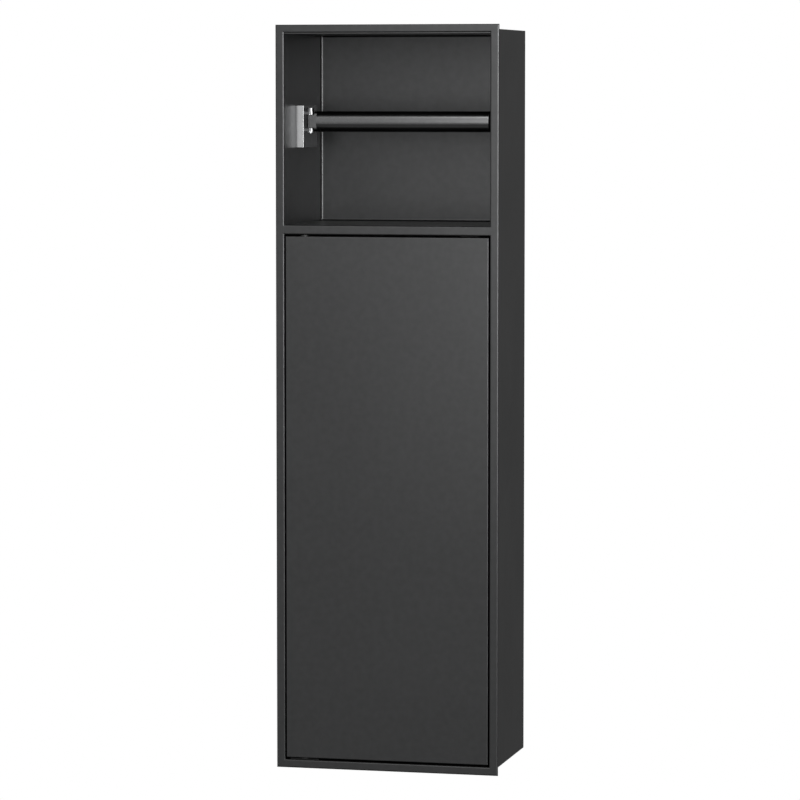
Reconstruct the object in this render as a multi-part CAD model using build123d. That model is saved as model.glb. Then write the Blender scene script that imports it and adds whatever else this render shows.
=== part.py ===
from build123d import *
import os

# Recessed wall cabinet: an open toilet roll niche with a swing-out roll bar, above a flush push-to-open
# door that hides a toilet brush set.
#
# Millimetres. +Z is up, +Y goes into the wall, and +X is to the right for someone facing the cabinet.
# The origin is the centre of the four wall fixings, on the back face of the box.

# Overall size
WIDTH = 200.0
HEIGHT = 655.0
DEPTH = 130.0

# Wall fixings: four holes through the back, behind the door
FIXING_SPACING_X = 140.0
FIXING_SPACING_Z = 380.0
FIXING_CENTRE_HEIGHT = 240.0
FIXING_HOLE_R = 2.75

# Front frame, which covers the edge of the wall recess
FRAME_T = 1.8
FRAME_SIDE = 7.7
FRAME_TOP = 7.0
FRAME_BOTTOM = 7.4
FRAME_OVERHANG = 4.1
FRAME_EDGE_R = 1.2
RAIL_HEIGHT = 8.2
DOOR_OPENING_HEIGHT = 464.6

# Sheet metal box and the two trays that line it
SHELL_T = 1.0
TRAY_T = 1.0
BEND_R = 2.0
NICHE_CEILING_DROP = 0.9
TRAY_SCREW_R = 2.0
TRAY_SCREW_HEAD_R = 3.8
TRAY_SCREW_HEAD_T = 1.6
TRAY_SCREW_FROM_FACE = 70.0
TRAY_SCREW_HEIGHTS = (150.0, 350.0)
SPACER_R = 5.0

# Door: a folded pan with a flat lining
DOOR_GAP_SIDE = 1.2
DOOR_GAP_TOP = 1.6
DOOR_GAP_BOTTOM = 1.8
DOOR_T = 14.0
DOOR_SKIN_T = 1.2
DOOR_EDGE_R = 0.8
LINING_T = 1.0
STIFFENER_WIDTH = 60.0
STIFFENER_T = 1.0
STIFFENER_END_GAP = 30.0

# Door pivots, top and bottom
PIVOT_FROM_EDGE = 16.0
PIVOT_FROM_FACE = 5.0
PIVOT_PIN_R = 2.0
PIVOT_PIN_ENGAGEMENT = 8.0
PIVOT_HEAD_R = 2.9
PIVOT_HEAD_T = 1.4
RUN_CLEARANCE = 0.05
BUSH_WALL = 1.0
BUSH_LENGTH = 6.0
BUSH_FLANGE_R = 3.8
BUSH_FLANGE_T = 0.8
PIN_HOLE_CLEARANCE = 0.5
UPPER_PLATE_T = 3.0
LOWER_PLATE_T = 1.0
PIVOT_PLATE_WIDTH = 26.0
PIVOT_PLATE_MARGIN = 5.0
RIVET_R = 1.5
RIVET_HEAD_R = 2.6
RIVET_HEAD_T = 0.9
RIVET_SPACING = 15.0
RIVET_SWING_MARGIN = 0.6

# Touch latch under the ceiling of the lower compartment, and the stops behind the door
LATCH_FROM_WALL = 22.0
LATCH_SIZE = 16.0
LATCH_LENGTH = 58.0
LATCH_BORE_LENGTH = 52.0
LATCH_TRAVEL = 3.0
LATCH_REACH = 3.8
PLUNGER_R = 4.0
PLUNGER_LENGTH = 24.0
SLIDE_CLEARANCE = 0.1
TOUCH_GAP = 0.3
MAGNET_R = 2.5
MAGNET_T = 2.0
SPRING_WIRE_R = 0.4
SPRING_CLEARANCE = 0.4
SPRING_TURNS = 12
LATCH_SCREW_R = 1.5
LATCH_SCREW_HEAD_R = 2.8
LATCH_SCREW_HEAD_T = 1.5
LATCH_SCREW_SPACING = 40.0
STRIKE_WIDTH = 34.0
STRIKE_HEIGHT = 12.0
STRIKE_SCREW_SPACING = 26.0
STRIKE_T = 1.2
STRIKE_SCREW_R = 1.2
STRIKE_SCREW_HEAD_R = 2.2
STRIKE_SCREW_HEAD_T = 0.9
STRIKE_SCREW_LENGTH = 4.0
STOP_HEIGHT = 24.0
STOP_LEG = 14.0
STOP_T = 1.2
STOP_INSETS = (60.0, 400.0)
BUMPER_R = 4.0
BUMPER_T = 1.5
PUSH_TRAVEL = 2.5

# Roll bar bracket on the left wall of the niche
BRACKET_T = 6.7
BRACKET_WIDTH = 47.3
BRACKET_HEIGHT = 36.8
BRACKET_FROM_FACE = 41.0
BRACKET_ABOVE_NICHE_MIDDLE = 2.35
BRACKET_EDGE_R = 0.5
BRACKET_WALL = 2.0
BASE_T = 2.6
BASE_MARGIN = 0.3
BRACKET_SCREW_R = 1.9
BRACKET_SCREW_HEAD_R = 3.4
BRACKET_SCREW_SPACING = 26.0
CLINCH_NUT_R = 4.0
CLINCH_NUT_T = 1.2
GRUB_R = 1.2

# Roll bar, which swings out on a vertical pin
BAR_R = 9.25
BAR_WALL = 1.2
BAR_ABOVE_BRACKET_CENTRE = 4.4
BAR_END_CLEARANCE = 9.4
BAR_EDGE_R = 1.1
SWING_FROM_BRACKET = 4.5
SWING_FROM_BRACKET_EDGE = 7.0
KNUCKLE_HEIGHT = 18.0
KNUCKLE_WIDTH = 8.0
KNUCKLE_SLOT = 12.0
KNUCKLE_WEB = 0.9
EYE_R = 3.1
EYE_HEIGHT = 11.0
SWING_CLEARANCE = 0.3
TUBE_EDGE_CLEARANCE = 0.5
SWING_PIN_R = 1.5
SWING_PIN_HEAD_R = 3.5
SWING_PIN_HEAD_T = 3.3
SWING_PIN_SEAT = 8.5
SWING_PIN_TAIL = 1.4
WASHER_R = 3.0
WASHER_T = 0.45
CLIP_R = 2.8
CLIP_T = 0.6
SPIGOT_LENGTH = 18.0
CAP_T = 3.0
CAP_PLUG_LENGTH = 10.0

# Brush set, hung from a ring on the back wall of the lower compartment
CUP_R = 40.0
CUP_HEIGHT = 88.0
CUP_WALL = 1.2
CUP_BOTTOM_ABOVE_FLOOR = 26.0
CUP_EDGE_R = 4.0
CUP_RIM_WIDTH = 4.0
CUP_RIM_T = 2.0
LINER_GAP = 0.2
LINER_WALL = 1.5
RING_CLEARANCE = 0.5
RING_WIDTH = 4.5
RING_T = 4.0
RING_FROM_BACK = 56.0
ARM_WIDTH = 30.0
PLATE_WIDTH = 46.0
PLATE_HEIGHT = 44.0
PLATE_T = 2.5
PLATE_SCREW_SPACING = 26.0
PLATE_SCREW_HEAD_R = 3.8
PLATE_SCREW_HEAD_T = 2.0
LID_R = 43.0
LID_T = 2.5
LID_EDGE_R = 0.8
BRUSH_LENGTH = 325.0
BRUSH_ABOVE_LINER = 12.0
TUFT_R = 33.0
TUFT_HEIGHT = 66.0
TUFT_EDGE_R = 10.0
CORE_R = 8.0
ROD_R = 4.5
GRIP_R = 10.0
GRIP_LENGTH = 110.0
GRIP_CAP_T = 4.0
GRIP_EDGE_R = 1.5

# How far a cut runs on past the face it opens, and how closely an edge is matched to a plane
PAST = 1.0
MATCH = 0.01

# Planes and places that follow from the sizes
FRONT = -DEPTH
SEAT = FRONT + FRAME_T
BOTTOM = -FIXING_CENTRE_HEIGHT
TOP = BOTTOM + HEIGHT
TRAY_BACK = -SHELL_T - TRAY_T
SHELL_X = WIDTH / 2 - FRAME_OVERHANG
OPEN_X = WIDTH / 2 - FRAME_SIDE
FLOOR = BOTTOM + FRAME_BOTTOM
CEILING = FLOOR + DOOR_OPENING_HEIGHT
NICHE_FLOOR = CEILING + RAIL_HEIGHT
NICHE_TOP = TOP - FRAME_TOP
NICHE_CEILING = NICHE_TOP - NICHE_CEILING_DROP

DOOR_X = OPEN_X - DOOR_GAP_SIDE
DOOR_LOW = FLOOR + DOOR_GAP_BOTTOM
DOOR_HIGH = CEILING - DOOR_GAP_TOP
DOOR_BACK = FRONT + DOOR_T
PIVOT_X = -DOOR_X + PIVOT_FROM_EDGE
PIVOT_Y = FRONT + PIVOT_FROM_FACE
BUSH_R = PIVOT_PIN_R + RUN_CLEARANCE + BUSH_WALL
PIVOT_PLATE_FRONT = SEAT + TOUCH_GAP
DOOR_SWING_R = (PIVOT_FROM_EDGE**2 + (DOOR_T - PIVOT_FROM_FACE) ** 2) ** 0.5
RIVET_Y = PIVOT_Y + DOOR_SWING_R + RIVET_HEAD_R + RIVET_SWING_MARGIN
PIVOT_PLATE_BACK = RIVET_Y + PIVOT_PLATE_MARGIN

LATCH_X = OPEN_X - LATCH_FROM_WALL
LATCH_Z = CEILING - LATCH_SIZE / 2
STRIKE_BACK = DOOR_BACK + STRIKE_T
PLUNGER_TIP = STRIKE_BACK + TOUCH_GAP
LATCH_FRONT = PLUNGER_TIP + LATCH_REACH
LATCH_BORE_END = LATCH_FRONT + LATCH_BORE_LENGTH
STOP_FACE = DOOR_BACK + PUSH_TRAVEL + BUMPER_T

BRACKET_FACE = -OPEN_X + BRACKET_T
BRACKET_FRONT = FRONT + BRACKET_FROM_FACE
BRACKET_BACK = BRACKET_FRONT + BRACKET_WIDTH
BRACKET_Y = BRACKET_FRONT + BRACKET_WIDTH / 2
BRACKET_Z = (NICHE_FLOOR + NICHE_CEILING) / 2 + BRACKET_ABOVE_NICHE_MIDDLE
BAR_Z = BRACKET_Z + BAR_ABOVE_BRACKET_CENTRE
SWING_X = BRACKET_FACE + SWING_FROM_BRACKET
SWING_Y = BRACKET_FRONT + SWING_FROM_BRACKET_EDGE
TUBE_START = SWING_X + SWING_FROM_BRACKET_EDGE + TUBE_EDGE_CLEARANCE
BAR_END = OPEN_X - BAR_END_CLEARANCE
BAR_BORE_R = BAR_R - BAR_WALL
SWING_HOLE_R = SWING_PIN_R + RUN_CLEARANCE

RING_Y = TRAY_BACK - RING_FROM_BACK
CUP_BOTTOM = FLOOR + CUP_BOTTOM_ABOVE_FLOOR
CUP_TOP = CUP_BOTTOM + CUP_HEIGHT
RING_TOP = CUP_TOP - CUP_RIM_T
RING_INNER_R = CUP_R + RING_CLEARANCE
LINER_R = CUP_R - CUP_WALL - LINER_GAP
LINER_FLOOR = CUP_BOTTOM + CUP_WALL + LINER_WALL
BRUSH_BOTTOM = LINER_FLOOR + BRUSH_ABOVE_LINER
BRUSH_TOP = BRUSH_BOTTOM + BRUSH_LENGTH
TUFT_TOP = BRUSH_BOTTOM + TUFT_HEIGHT
LID_TOP = CUP_TOP + LID_T
GRIP_TOP = BRUSH_TOP - GRIP_CAP_T
GRIP_BOTTOM = GRIP_TOP - GRIP_LENGTH


def block(x, y, z):
    """A box between two limits on each axis."""
    size = [high - low for low, high in (x, y, z)]
    centre = [(high + low) / 2 for low, high in (x, y, z)]
    return Pos(*centre) * Box(*size)


def rod(axis, radius, start, end, a, b):
    """A round rod along one axis, from start to end. a and b place it on the other two axes, in order."""
    length = end - start
    middle = (start + end) / 2
    if axis == "x":
        return Pos(middle, a, b) * Rot(0, 90, 0) * Cylinder(radius, length)
    if axis == "y":
        return Pos(a, middle, b) * Rot(90, 0, 0) * Cylinder(radius, length)
    return Pos(a, b, middle) * Cylinder(radius, length)


def edges_at(shape, axis, place, direction=None):
    """The edges that lie in one plane across an axis, and run along a direction if one is given."""
    chosen = shape.edges().filter_by_position(axis, place - MATCH, place + MATCH)
    return chosen.filter_by(direction) if direction else chosen


def mirrored_x(places):
    """The same places on the left and on the right."""
    return [(side * x, z) for x, z in places for side in (-1, 1)]


def fixing_places():
    """Where the four wall fixings pass through the back."""
    return mirrored_x([(FIXING_SPACING_X / 2, z * FIXING_SPACING_Z / 2) for z in (-1, 1)])


def plate_screw_places():
    """Heights of the two screws that hold the brush bracket's plate."""
    middle = RING_TOP - RING_T / 2
    return [middle - PLATE_SCREW_SPACING / 2, middle + PLATE_SCREW_SPACING / 2]


def rivet_places():
    """Left-to-right places of the two rivets of a door pivot plate."""
    return [PIVOT_X - RIVET_SPACING / 2, PIVOT_X + RIVET_SPACING / 2]


def tray_screw_heights():
    """Heights of the screws that join the lower tray to the box."""
    return [FLOOR + height for height in TRAY_SCREW_HEIGHTS]


def back_holes():
    """Drills for the holes that pass through both the lower tray's back and the box's back."""
    drills = [rod("y", FIXING_HOLE_R, TRAY_BACK - PAST, PAST, x, z) for x, z in fixing_places()]
    drills += [rod("y", TRAY_SCREW_R, TRAY_BACK - PAST, PAST, 0, z) for z in plate_screw_places()]
    return drills


# Front frame and box


def front_frame():
    """The flat frame round both openings, with the rail between them and rounded front edges."""
    frame = block((-WIDTH / 2, WIDTH / 2), (FRONT, SEAT), (BOTTOM, TOP))
    frame -= block((-OPEN_X, OPEN_X), (FRONT - PAST, SEAT + PAST), (FLOOR, CEILING))
    frame -= block((-OPEN_X, OPEN_X), (FRONT - PAST, SEAT + PAST), (NICHE_FLOOR, NICHE_TOP))
    return fillet(edges_at(frame, Axis.Y, FRONT), FRAME_EDGE_R)


def box_side(side):
    """One side wall of the box, with the threaded holes of the tray screws."""
    near, far = sorted((side * (SHELL_X - SHELL_T), side * SHELL_X))
    wall = block((near, far), (SEAT, 0), (BOTTOM + FRAME_OVERHANG, TOP - FRAME_OVERHANG))
    for height in tray_screw_heights():
        wall -= rod("x", TRAY_SCREW_R, near - PAST, far + PAST, FRONT + TRAY_SCREW_FROM_FACE, height)
    return wall


def box_end(low):
    """The bottom or top wall of the box, between its sides."""
    inner = SHELL_X - SHELL_T
    return block((-inner, inner), (SEAT, 0), (low, low + SHELL_T))


def box_back():
    """The back wall of the box, with the holes of the wall fixings and of the brush bracket's screws."""
    inner = SHELL_X - SHELL_T
    low = BOTTOM + FRAME_OVERHANG + SHELL_T
    high = TOP - FRAME_OVERHANG - SHELL_T
    wall = block((-inner, inner), (-SHELL_T, 0), (low, high))
    for drill in back_holes():
        wall -= drill
    return wall


def tray(low, high):
    """A folded tray, open at the front, whose inner floor and ceiling are at low and high."""
    outer_x = OPEN_X + TRAY_T
    outer = block((-outer_x, outer_x), (SEAT, -SHELL_T), (low - TRAY_T, high + TRAY_T))
    outer = fillet(edges_at(outer, Axis.Y, -SHELL_T), BEND_R + TRAY_T)
    inner = block((-OPEN_X, OPEN_X), (SEAT - PAST, TRAY_BACK), (low, high))
    inner = fillet(edges_at(inner, Axis.Y, TRAY_BACK), BEND_R)
    return outer - inner


def niche_tray():
    """The lining of the open roll niche, with the two holes of the roll bar bracket's screws."""
    lining = tray(NICHE_FLOOR, NICHE_CEILING)
    for y in bracket_screw_places():
        lining -= rod("x", BRACKET_SCREW_R, -OPEN_X - TRAY_T - PAST, -OPEN_X + PAST, y, BRACKET_Z)
    return lining


def lower_tray():
    """The folded sheet behind the door: floor, back and ceiling, with every hole drilled through them."""
    outer = block((-OPEN_X, OPEN_X), (SEAT, -SHELL_T), (FLOOR - TRAY_T, CEILING + TRAY_T))
    outer = fillet(edges_at(outer, Axis.Y, -SHELL_T, Axis.X), BEND_R + TRAY_T)
    inner = block((-OPEN_X - PAST, OPEN_X + PAST), (SEAT - PAST, TRAY_BACK), (FLOOR, CEILING))
    lining = outer - fillet(edges_at(inner, Axis.Y, TRAY_BACK, Axis.X), BEND_R)
    for drill in back_holes():
        lining -= drill
    below, above = CEILING - PAST, CEILING + TRAY_T + PAST
    lining -= rod("z", PIVOT_PIN_R + PIN_HOLE_CLEARANCE, below, above, PIVOT_X, PIVOT_Y)
    for x in rivet_places():
        lining -= rod("z", RIVET_R, below, above, x, RIVET_Y)
        lining -= rod("z", RIVET_R, FLOOR - TRAY_T - PAST, FLOOR + PAST, x, RIVET_Y)
    for y in latch_screw_places():
        lining -= rod("z", LATCH_SCREW_R, below, above, LATCH_X, y)
    return lining


def lower_tray_sides():
    """The two flat sheets welded to the sides of the folded one, with the holes of the tray screws."""
    sides = []
    for side in (-1, 1):
        near, far = sorted((side * OPEN_X, side * (OPEN_X + TRAY_T)))
        sheet = block((near, far), (SEAT, -SHELL_T), (FLOOR - TRAY_T, CEILING + TRAY_T))
        sheet = fillet(edges_at(sheet, Axis.Y, -SHELL_T, Axis.X), BEND_R + TRAY_T)
        for height in tray_screw_heights():
            sheet -= rod("x", TRAY_SCREW_R, near - PAST, far + PAST, FRONT + TRAY_SCREW_FROM_FACE, height)
        sides.append(sheet)
    return sides


def tray_spacers():
    """Washers that fill the gap between the lower tray and the box at each tray screw."""
    y = FRONT + TRAY_SCREW_FROM_FACE
    inner = OPEN_X + TRAY_T
    outer = SHELL_X - SHELL_T
    return [
        rod("x", SPACER_R, *sorted((side * inner, side * outer)), y, z)
        - rod("x", TRAY_SCREW_R, *sorted((side * (inner - PAST), side * (outer + PAST))), y, z)
        for side in (-1, 1)
        for z in tray_screw_heights()
    ]


def tray_screws():
    """Screws that hold the lower tray, and the frame welded to it, inside the box."""
    y = FRONT + TRAY_SCREW_FROM_FACE
    head_end = OPEN_X - TRAY_SCREW_HEAD_T
    return [
        rod("x", TRAY_SCREW_R, *sorted((side * OPEN_X, side * SHELL_X)), y, z)
        + rod("x", TRAY_SCREW_HEAD_R, *sorted((side * head_end, side * OPEN_X)), y, z)
        for side in (-1, 1)
        for z in tray_screw_heights()
    ]


# Door and its pivots


def door_panel():
    """The door's folded pan: a flat face with returned edges and bush holes in its ends."""
    pan = block((-DOOR_X, DOOR_X), (FRONT, DOOR_BACK), (DOOR_LOW, DOOR_HIGH))
    pan = fillet(edges_at(pan, Axis.Y, FRONT), DOOR_EDGE_R)
    pan -= block(
        (-DOOR_X + DOOR_SKIN_T, DOOR_X - DOOR_SKIN_T),
        (FRONT + DOOR_SKIN_T, DOOR_BACK + PAST),
        (DOOR_LOW + DOOR_SKIN_T, DOOR_HIGH - DOOR_SKIN_T),
    )
    return pan - rod("z", BUSH_R, DOOR_LOW - PAST, DOOR_HIGH + PAST, PIVOT_X, PIVOT_Y)


def door_lining():
    """The flat sheet that closes the back of the door between its returned edges."""
    sheet = block(
        (-DOOR_X + DOOR_SKIN_T, DOOR_X - DOOR_SKIN_T),
        (DOOR_BACK - LINING_T, DOOR_BACK),
        (DOOR_LOW + DOOR_SKIN_T, DOOR_HIGH - DOOR_SKIN_T),
    )
    for x in strike_screw_places():
        sheet -= rod("y", STRIKE_SCREW_R, DOOR_BACK - LINING_T - PAST, DOOR_BACK + PAST, x, LATCH_Z)
    return sheet


def door_stiffener():
    """A channel bonded between the door's face and its lining."""
    half = STIFFENER_WIDTH / 2
    front, back = FRONT + DOOR_SKIN_T, DOOR_BACK - LINING_T
    low, high = DOOR_LOW + STIFFENER_END_GAP, DOOR_HIGH - STIFFENER_END_GAP
    channel = block((-half, half), (front, back), (low, high))
    inner = half - STIFFENER_T
    return channel - block((-inner, inner), (front - PAST, back - STIFFENER_T), (low - PAST, high + PAST))


def upper_bush():
    """The bush in the door's top edge, whose flange runs in the gap under the ceiling."""
    low, high = DOOR_HIGH - BUSH_LENGTH, DOOR_HIGH + BUSH_FLANGE_T
    bush = rod("z", BUSH_R, low, DOOR_HIGH, PIVOT_X, PIVOT_Y)
    bush += rod("z", BUSH_FLANGE_R, DOOR_HIGH, high, PIVOT_X, PIVOT_Y)
    return bush - rod("z", PIVOT_PIN_R + RUN_CLEARANCE, low - PAST, high + PAST, PIVOT_X, PIVOT_Y)


def lower_bush():
    """The bush in the door's bottom edge, flush outside so that it stands on the thrust washer."""
    bush = rod("z", BUSH_R, DOOR_LOW, DOOR_LOW + BUSH_LENGTH, PIVOT_X, PIVOT_Y)
    bore = PIVOT_PIN_R + RUN_CLEARANCE
    return bush - rod("z", bore, DOOR_LOW - PAST, DOOR_LOW + BUSH_LENGTH + PAST, PIVOT_X, PIVOT_Y)


def pivot_plate(low, high):
    """A plate that carries one door pivot pin, with holes for the pin and for two rivets."""
    half = PIVOT_PLATE_WIDTH / 2
    plate = block((PIVOT_X - half, PIVOT_X + half), (PIVOT_PLATE_FRONT, PIVOT_PLATE_BACK), (low, high))
    plate -= rod("z", PIVOT_PIN_R, low - PAST, high + PAST, PIVOT_X, PIVOT_Y)
    for x in rivet_places():
        plate -= rod("z", RIVET_R, low - PAST, high + PAST, x, RIVET_Y)
    return plate


def upper_pivot_plate():
    """The pivot plate above the lower compartment's ceiling, hidden behind the rail."""
    low = CEILING + TRAY_T
    return pivot_plate(low, low + UPPER_PLATE_T)


def lower_pivot_plate():
    """The thin pivot plate on the floor, in the gap under the door."""
    return pivot_plate(FLOOR, FLOOR + LOWER_PLATE_T)


def upper_pivot_pin():
    """The headed pin that hangs from the upper plate into the door's upper bush."""
    seat = CEILING + TRAY_T + UPPER_PLATE_T
    pin = rod("z", PIVOT_PIN_R, DOOR_HIGH - PIVOT_PIN_ENGAGEMENT, seat, PIVOT_X, PIVOT_Y)
    return pin + rod("z", PIVOT_HEAD_R, seat, seat + PIVOT_HEAD_T, PIVOT_X, PIVOT_Y)


def lower_pivot_pin():
    """The pin that stands up from the lower plate into the door's lower bush."""
    return rod("z", PIVOT_PIN_R, FLOOR, DOOR_LOW + PIVOT_PIN_ENGAGEMENT, PIVOT_X, PIVOT_Y)


def thrust_washer():
    """The washer on the lower pin that carries the door's weight."""
    low = FLOOR + LOWER_PLATE_T
    washer = rod("z", BUSH_FLANGE_R, low, DOOR_LOW, PIVOT_X, PIVOT_Y)
    return washer - rod("z", PIVOT_PIN_R + RUN_CLEARANCE, low - PAST, DOOR_LOW + PAST, PIVOT_X, PIVOT_Y)


def pivot_rivets():
    """The rivets that hold both pivot plates, with their heads on the compartment's side."""
    rivets = []
    for x in rivet_places():
        upper_end = CEILING + TRAY_T + UPPER_PLATE_T
        rivet = rod("z", RIVET_R, CEILING, upper_end, x, RIVET_Y)
        rivets.append(rivet + rod("z", RIVET_HEAD_R, CEILING - RIVET_HEAD_T, CEILING, x, RIVET_Y))
        plate_top = FLOOR + LOWER_PLATE_T
        rivet = rod("z", RIVET_R, FLOOR - TRAY_T, plate_top, x, RIVET_Y)
        rivets.append(rivet + rod("z", RIVET_HEAD_R, plate_top, plate_top + RIVET_HEAD_T, x, RIVET_Y))
    return rivets


# Touch latch, strike and door stops


def latch_screw_places():
    """Front-to-back places of the two screws that hang the latch from the ceiling."""
    middle = LATCH_FRONT + LATCH_LENGTH / 2
    return [middle - LATCH_SCREW_SPACING / 2, middle + LATCH_SCREW_SPACING / 2]


def strike_screw_places():
    """Left-to-right places of the two screws of the strike plate."""
    return [LATCH_X - STRIKE_SCREW_SPACING / 2, LATCH_X + STRIKE_SCREW_SPACING / 2]


def latch_screw_tip():
    """How far down the latch screws reach: clear of the plunger's bore."""
    bore_top = LATCH_Z + PLUNGER_R + SLIDE_CLEARANCE
    return (bore_top + CEILING) / 2


def latch_housing():
    """The latch's body, with a blind bore for its plunger and spring."""
    half = LATCH_SIZE / 2
    back = LATCH_FRONT + LATCH_LENGTH
    body = block((LATCH_X - half, LATCH_X + half), (LATCH_FRONT, back), (CEILING - LATCH_SIZE, CEILING))
    body -= rod("y", PLUNGER_R + SLIDE_CLEARANCE, LATCH_FRONT - PAST, LATCH_BORE_END, LATCH_X, LATCH_Z)
    for y in latch_screw_places():
        body -= rod("z", LATCH_SCREW_R, latch_screw_tip(), CEILING + PAST, LATCH_X, y)
    return body


def latch_plunger():
    """The sliding plunger, with a pocket for the magnet in its tip."""
    plunger = rod("y", PLUNGER_R, PLUNGER_TIP, PLUNGER_TIP + PLUNGER_LENGTH, LATCH_X, LATCH_Z)
    return plunger - rod("y", MAGNET_R, PLUNGER_TIP - PAST, PLUNGER_TIP + MAGNET_T, LATCH_X, LATCH_Z)


def latch_magnet():
    """The magnet that keeps hold of the door's strike plate."""
    return rod("y", MAGNET_R, PLUNGER_TIP, PLUNGER_TIP + MAGNET_T, LATCH_X, LATCH_Z)


def latch_spring():
    """The coil spring between the plunger and the end of the bore, flattened a little at both ends."""
    start, end = PLUNGER_TIP + PLUNGER_LENGTH, LATCH_BORE_END
    radius = PLUNGER_R - SPRING_CLEARANCE - SPRING_WIRE_R
    length = end - start - 2 * SPRING_WIRE_R
    path = Helix(pitch=length / SPRING_TURNS, height=length, radius=radius)
    wire = sweep(Plane(origin=path @ 0, z_dir=path % 0) * Circle(SPRING_WIRE_R), path=path, is_frenet=True)
    return Pos(LATCH_X, start + SPRING_WIRE_R, LATCH_Z) * Rot(-90, 0, 0) * wire


def latch_screws():
    """The screws that hang the latch, put in from above the ceiling."""
    top = CEILING + TRAY_T
    return [
        rod("z", LATCH_SCREW_R, latch_screw_tip(), top, LATCH_X, y)
        + rod("z", LATCH_SCREW_HEAD_R, top, top + LATCH_SCREW_HEAD_T, LATCH_X, y)
        for y in latch_screw_places()
    ]


def strike_plate():
    """The steel plate on the door's lining that the magnet holds."""
    half_width = STRIKE_WIDTH / 2
    half_height = STRIKE_HEIGHT / 2
    plate = block(
        (LATCH_X - half_width, LATCH_X + half_width),
        (DOOR_BACK, STRIKE_BACK),
        (LATCH_Z - half_height, LATCH_Z + half_height),
    )
    for x in strike_screw_places():
        plate -= rod("y", STRIKE_SCREW_R, DOOR_BACK - PAST, STRIKE_BACK + PAST, x, LATCH_Z)
    return plate


def strike_screws():
    """The two screws of the strike plate."""
    return [
        rod("y", STRIKE_SCREW_R, STRIKE_BACK - STRIKE_SCREW_LENGTH, STRIKE_BACK, x, LATCH_Z)
        + rod("y", STRIKE_SCREW_HEAD_R, STRIKE_BACK, STRIKE_BACK + STRIKE_SCREW_HEAD_T, x, LATCH_Z)
        for x in strike_screw_places()
    ]


def stop_heights():
    """Middle heights of the two door stops."""
    return [FLOOR + inset for inset in STOP_INSETS]


def stop_brackets():
    """Two angle brackets on the right wall, behind the door's free edge."""
    brackets = []
    for middle in stop_heights():
        height = (middle - STOP_HEIGHT / 2, middle + STOP_HEIGHT / 2)
        face = block((OPEN_X - STOP_LEG, OPEN_X), (STOP_FACE, STOP_FACE + STOP_T), height)
        foot = block((OPEN_X - STOP_T, OPEN_X), (STOP_FACE, STOP_FACE + STOP_LEG), height)
        brackets.append(face + foot)
    return brackets


def door_bumpers():
    """A rubber pad on each door stop."""
    x = OPEN_X - STOP_LEG / 2
    return [rod("y", BUMPER_R, STOP_FACE - BUMPER_T, STOP_FACE, x, z) for z in stop_heights()]


# Roll bar bracket


def bracket_screw_places():
    """Front-to-back places of the bracket base's two screws."""
    return [BRACKET_Y - BRACKET_SCREW_SPACING / 2, BRACKET_Y + BRACKET_SCREW_SPACING / 2]


def bracket_base_limits():
    """The limits of the base plate on Y and Z, inside the bracket body's walls."""
    inset = BRACKET_WALL + BASE_MARGIN
    half = BRACKET_HEIGHT / 2 - inset
    return (BRACKET_FRONT + inset, BRACKET_BACK - inset), (BRACKET_Z - half, BRACKET_Z + half)


def bracket_base():
    """The plate screwed to the niche wall, which the bracket body slips over."""
    y, z = bracket_base_limits()
    plate = block((-OPEN_X, -OPEN_X + BASE_T), y, z)
    for screw in bracket_screws():
        plate -= screw
    return plate


def bracket_screws():
    """Countersunk screws through the base plate and the niche wall."""
    top = -OPEN_X + BASE_T
    cone_t = BRACKET_SCREW_HEAD_R - BRACKET_SCREW_R
    end = -OPEN_X - TRAY_T - CLINCH_NUT_T
    screws = []
    for y in bracket_screw_places():
        cone = Cone(BRACKET_SCREW_R, BRACKET_SCREW_HEAD_R, cone_t)
        head = Pos(top - cone_t / 2, y, BRACKET_Z) * Rot(0, 90, 0) * cone
        screws.append(rod("x", BRACKET_SCREW_R, end, top - cone_t, y, BRACKET_Z) + head)
    return screws


def bracket_nuts():
    """Clinch nuts pressed into the back of the niche wall."""
    high = -OPEN_X - TRAY_T
    return [
        rod("x", CLINCH_NUT_R, high - CLINCH_NUT_T, high, y, BRACKET_Z)
        - rod("x", BRACKET_SCREW_R, high - CLINCH_NUT_T - PAST, high + PAST, y, BRACKET_Z)
        for y in bracket_screw_places()
    ]


def knuckle_bar(start, end, height):
    """A bar along X with flat sides and rounded top and bottom, the section of both hinge knuckles."""
    section = Plane.YZ * SlotOverall(height, KNUCKLE_WIDTH, rotation=90)
    return Pos(start, SWING_Y, BAR_Z) * extrude(section, end - start)


def hinge_ears():
    """The fixed ears of the roll bar's hinge, rounded about the pin, with a slot for the eye."""
    root = BRACKET_FACE - BRACKET_EDGE_R
    ear_r = KNUCKLE_WIDTH / 2
    low, high = BAR_Z - KNUCKLE_HEIGHT / 2, BAR_Z + KNUCKLE_HEIGHT / 2
    outline = block((root, SWING_X), (SWING_Y - ear_r, SWING_Y + ear_r), (low, high))
    outline += rod("z", ear_r, low, high, SWING_X, SWING_Y)
    ears = knuckle_bar(root, SWING_X + ear_r, KNUCKLE_HEIGHT) & outline
    return ears - block(
        (BRACKET_FACE + KNUCKLE_WEB, SWING_X + ear_r + PAST),
        (SWING_Y - ear_r - PAST, SWING_Y + ear_r + PAST),
        (BAR_Z - KNUCKLE_SLOT / 2, BAR_Z + KNUCKLE_SLOT / 2),
    )


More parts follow.
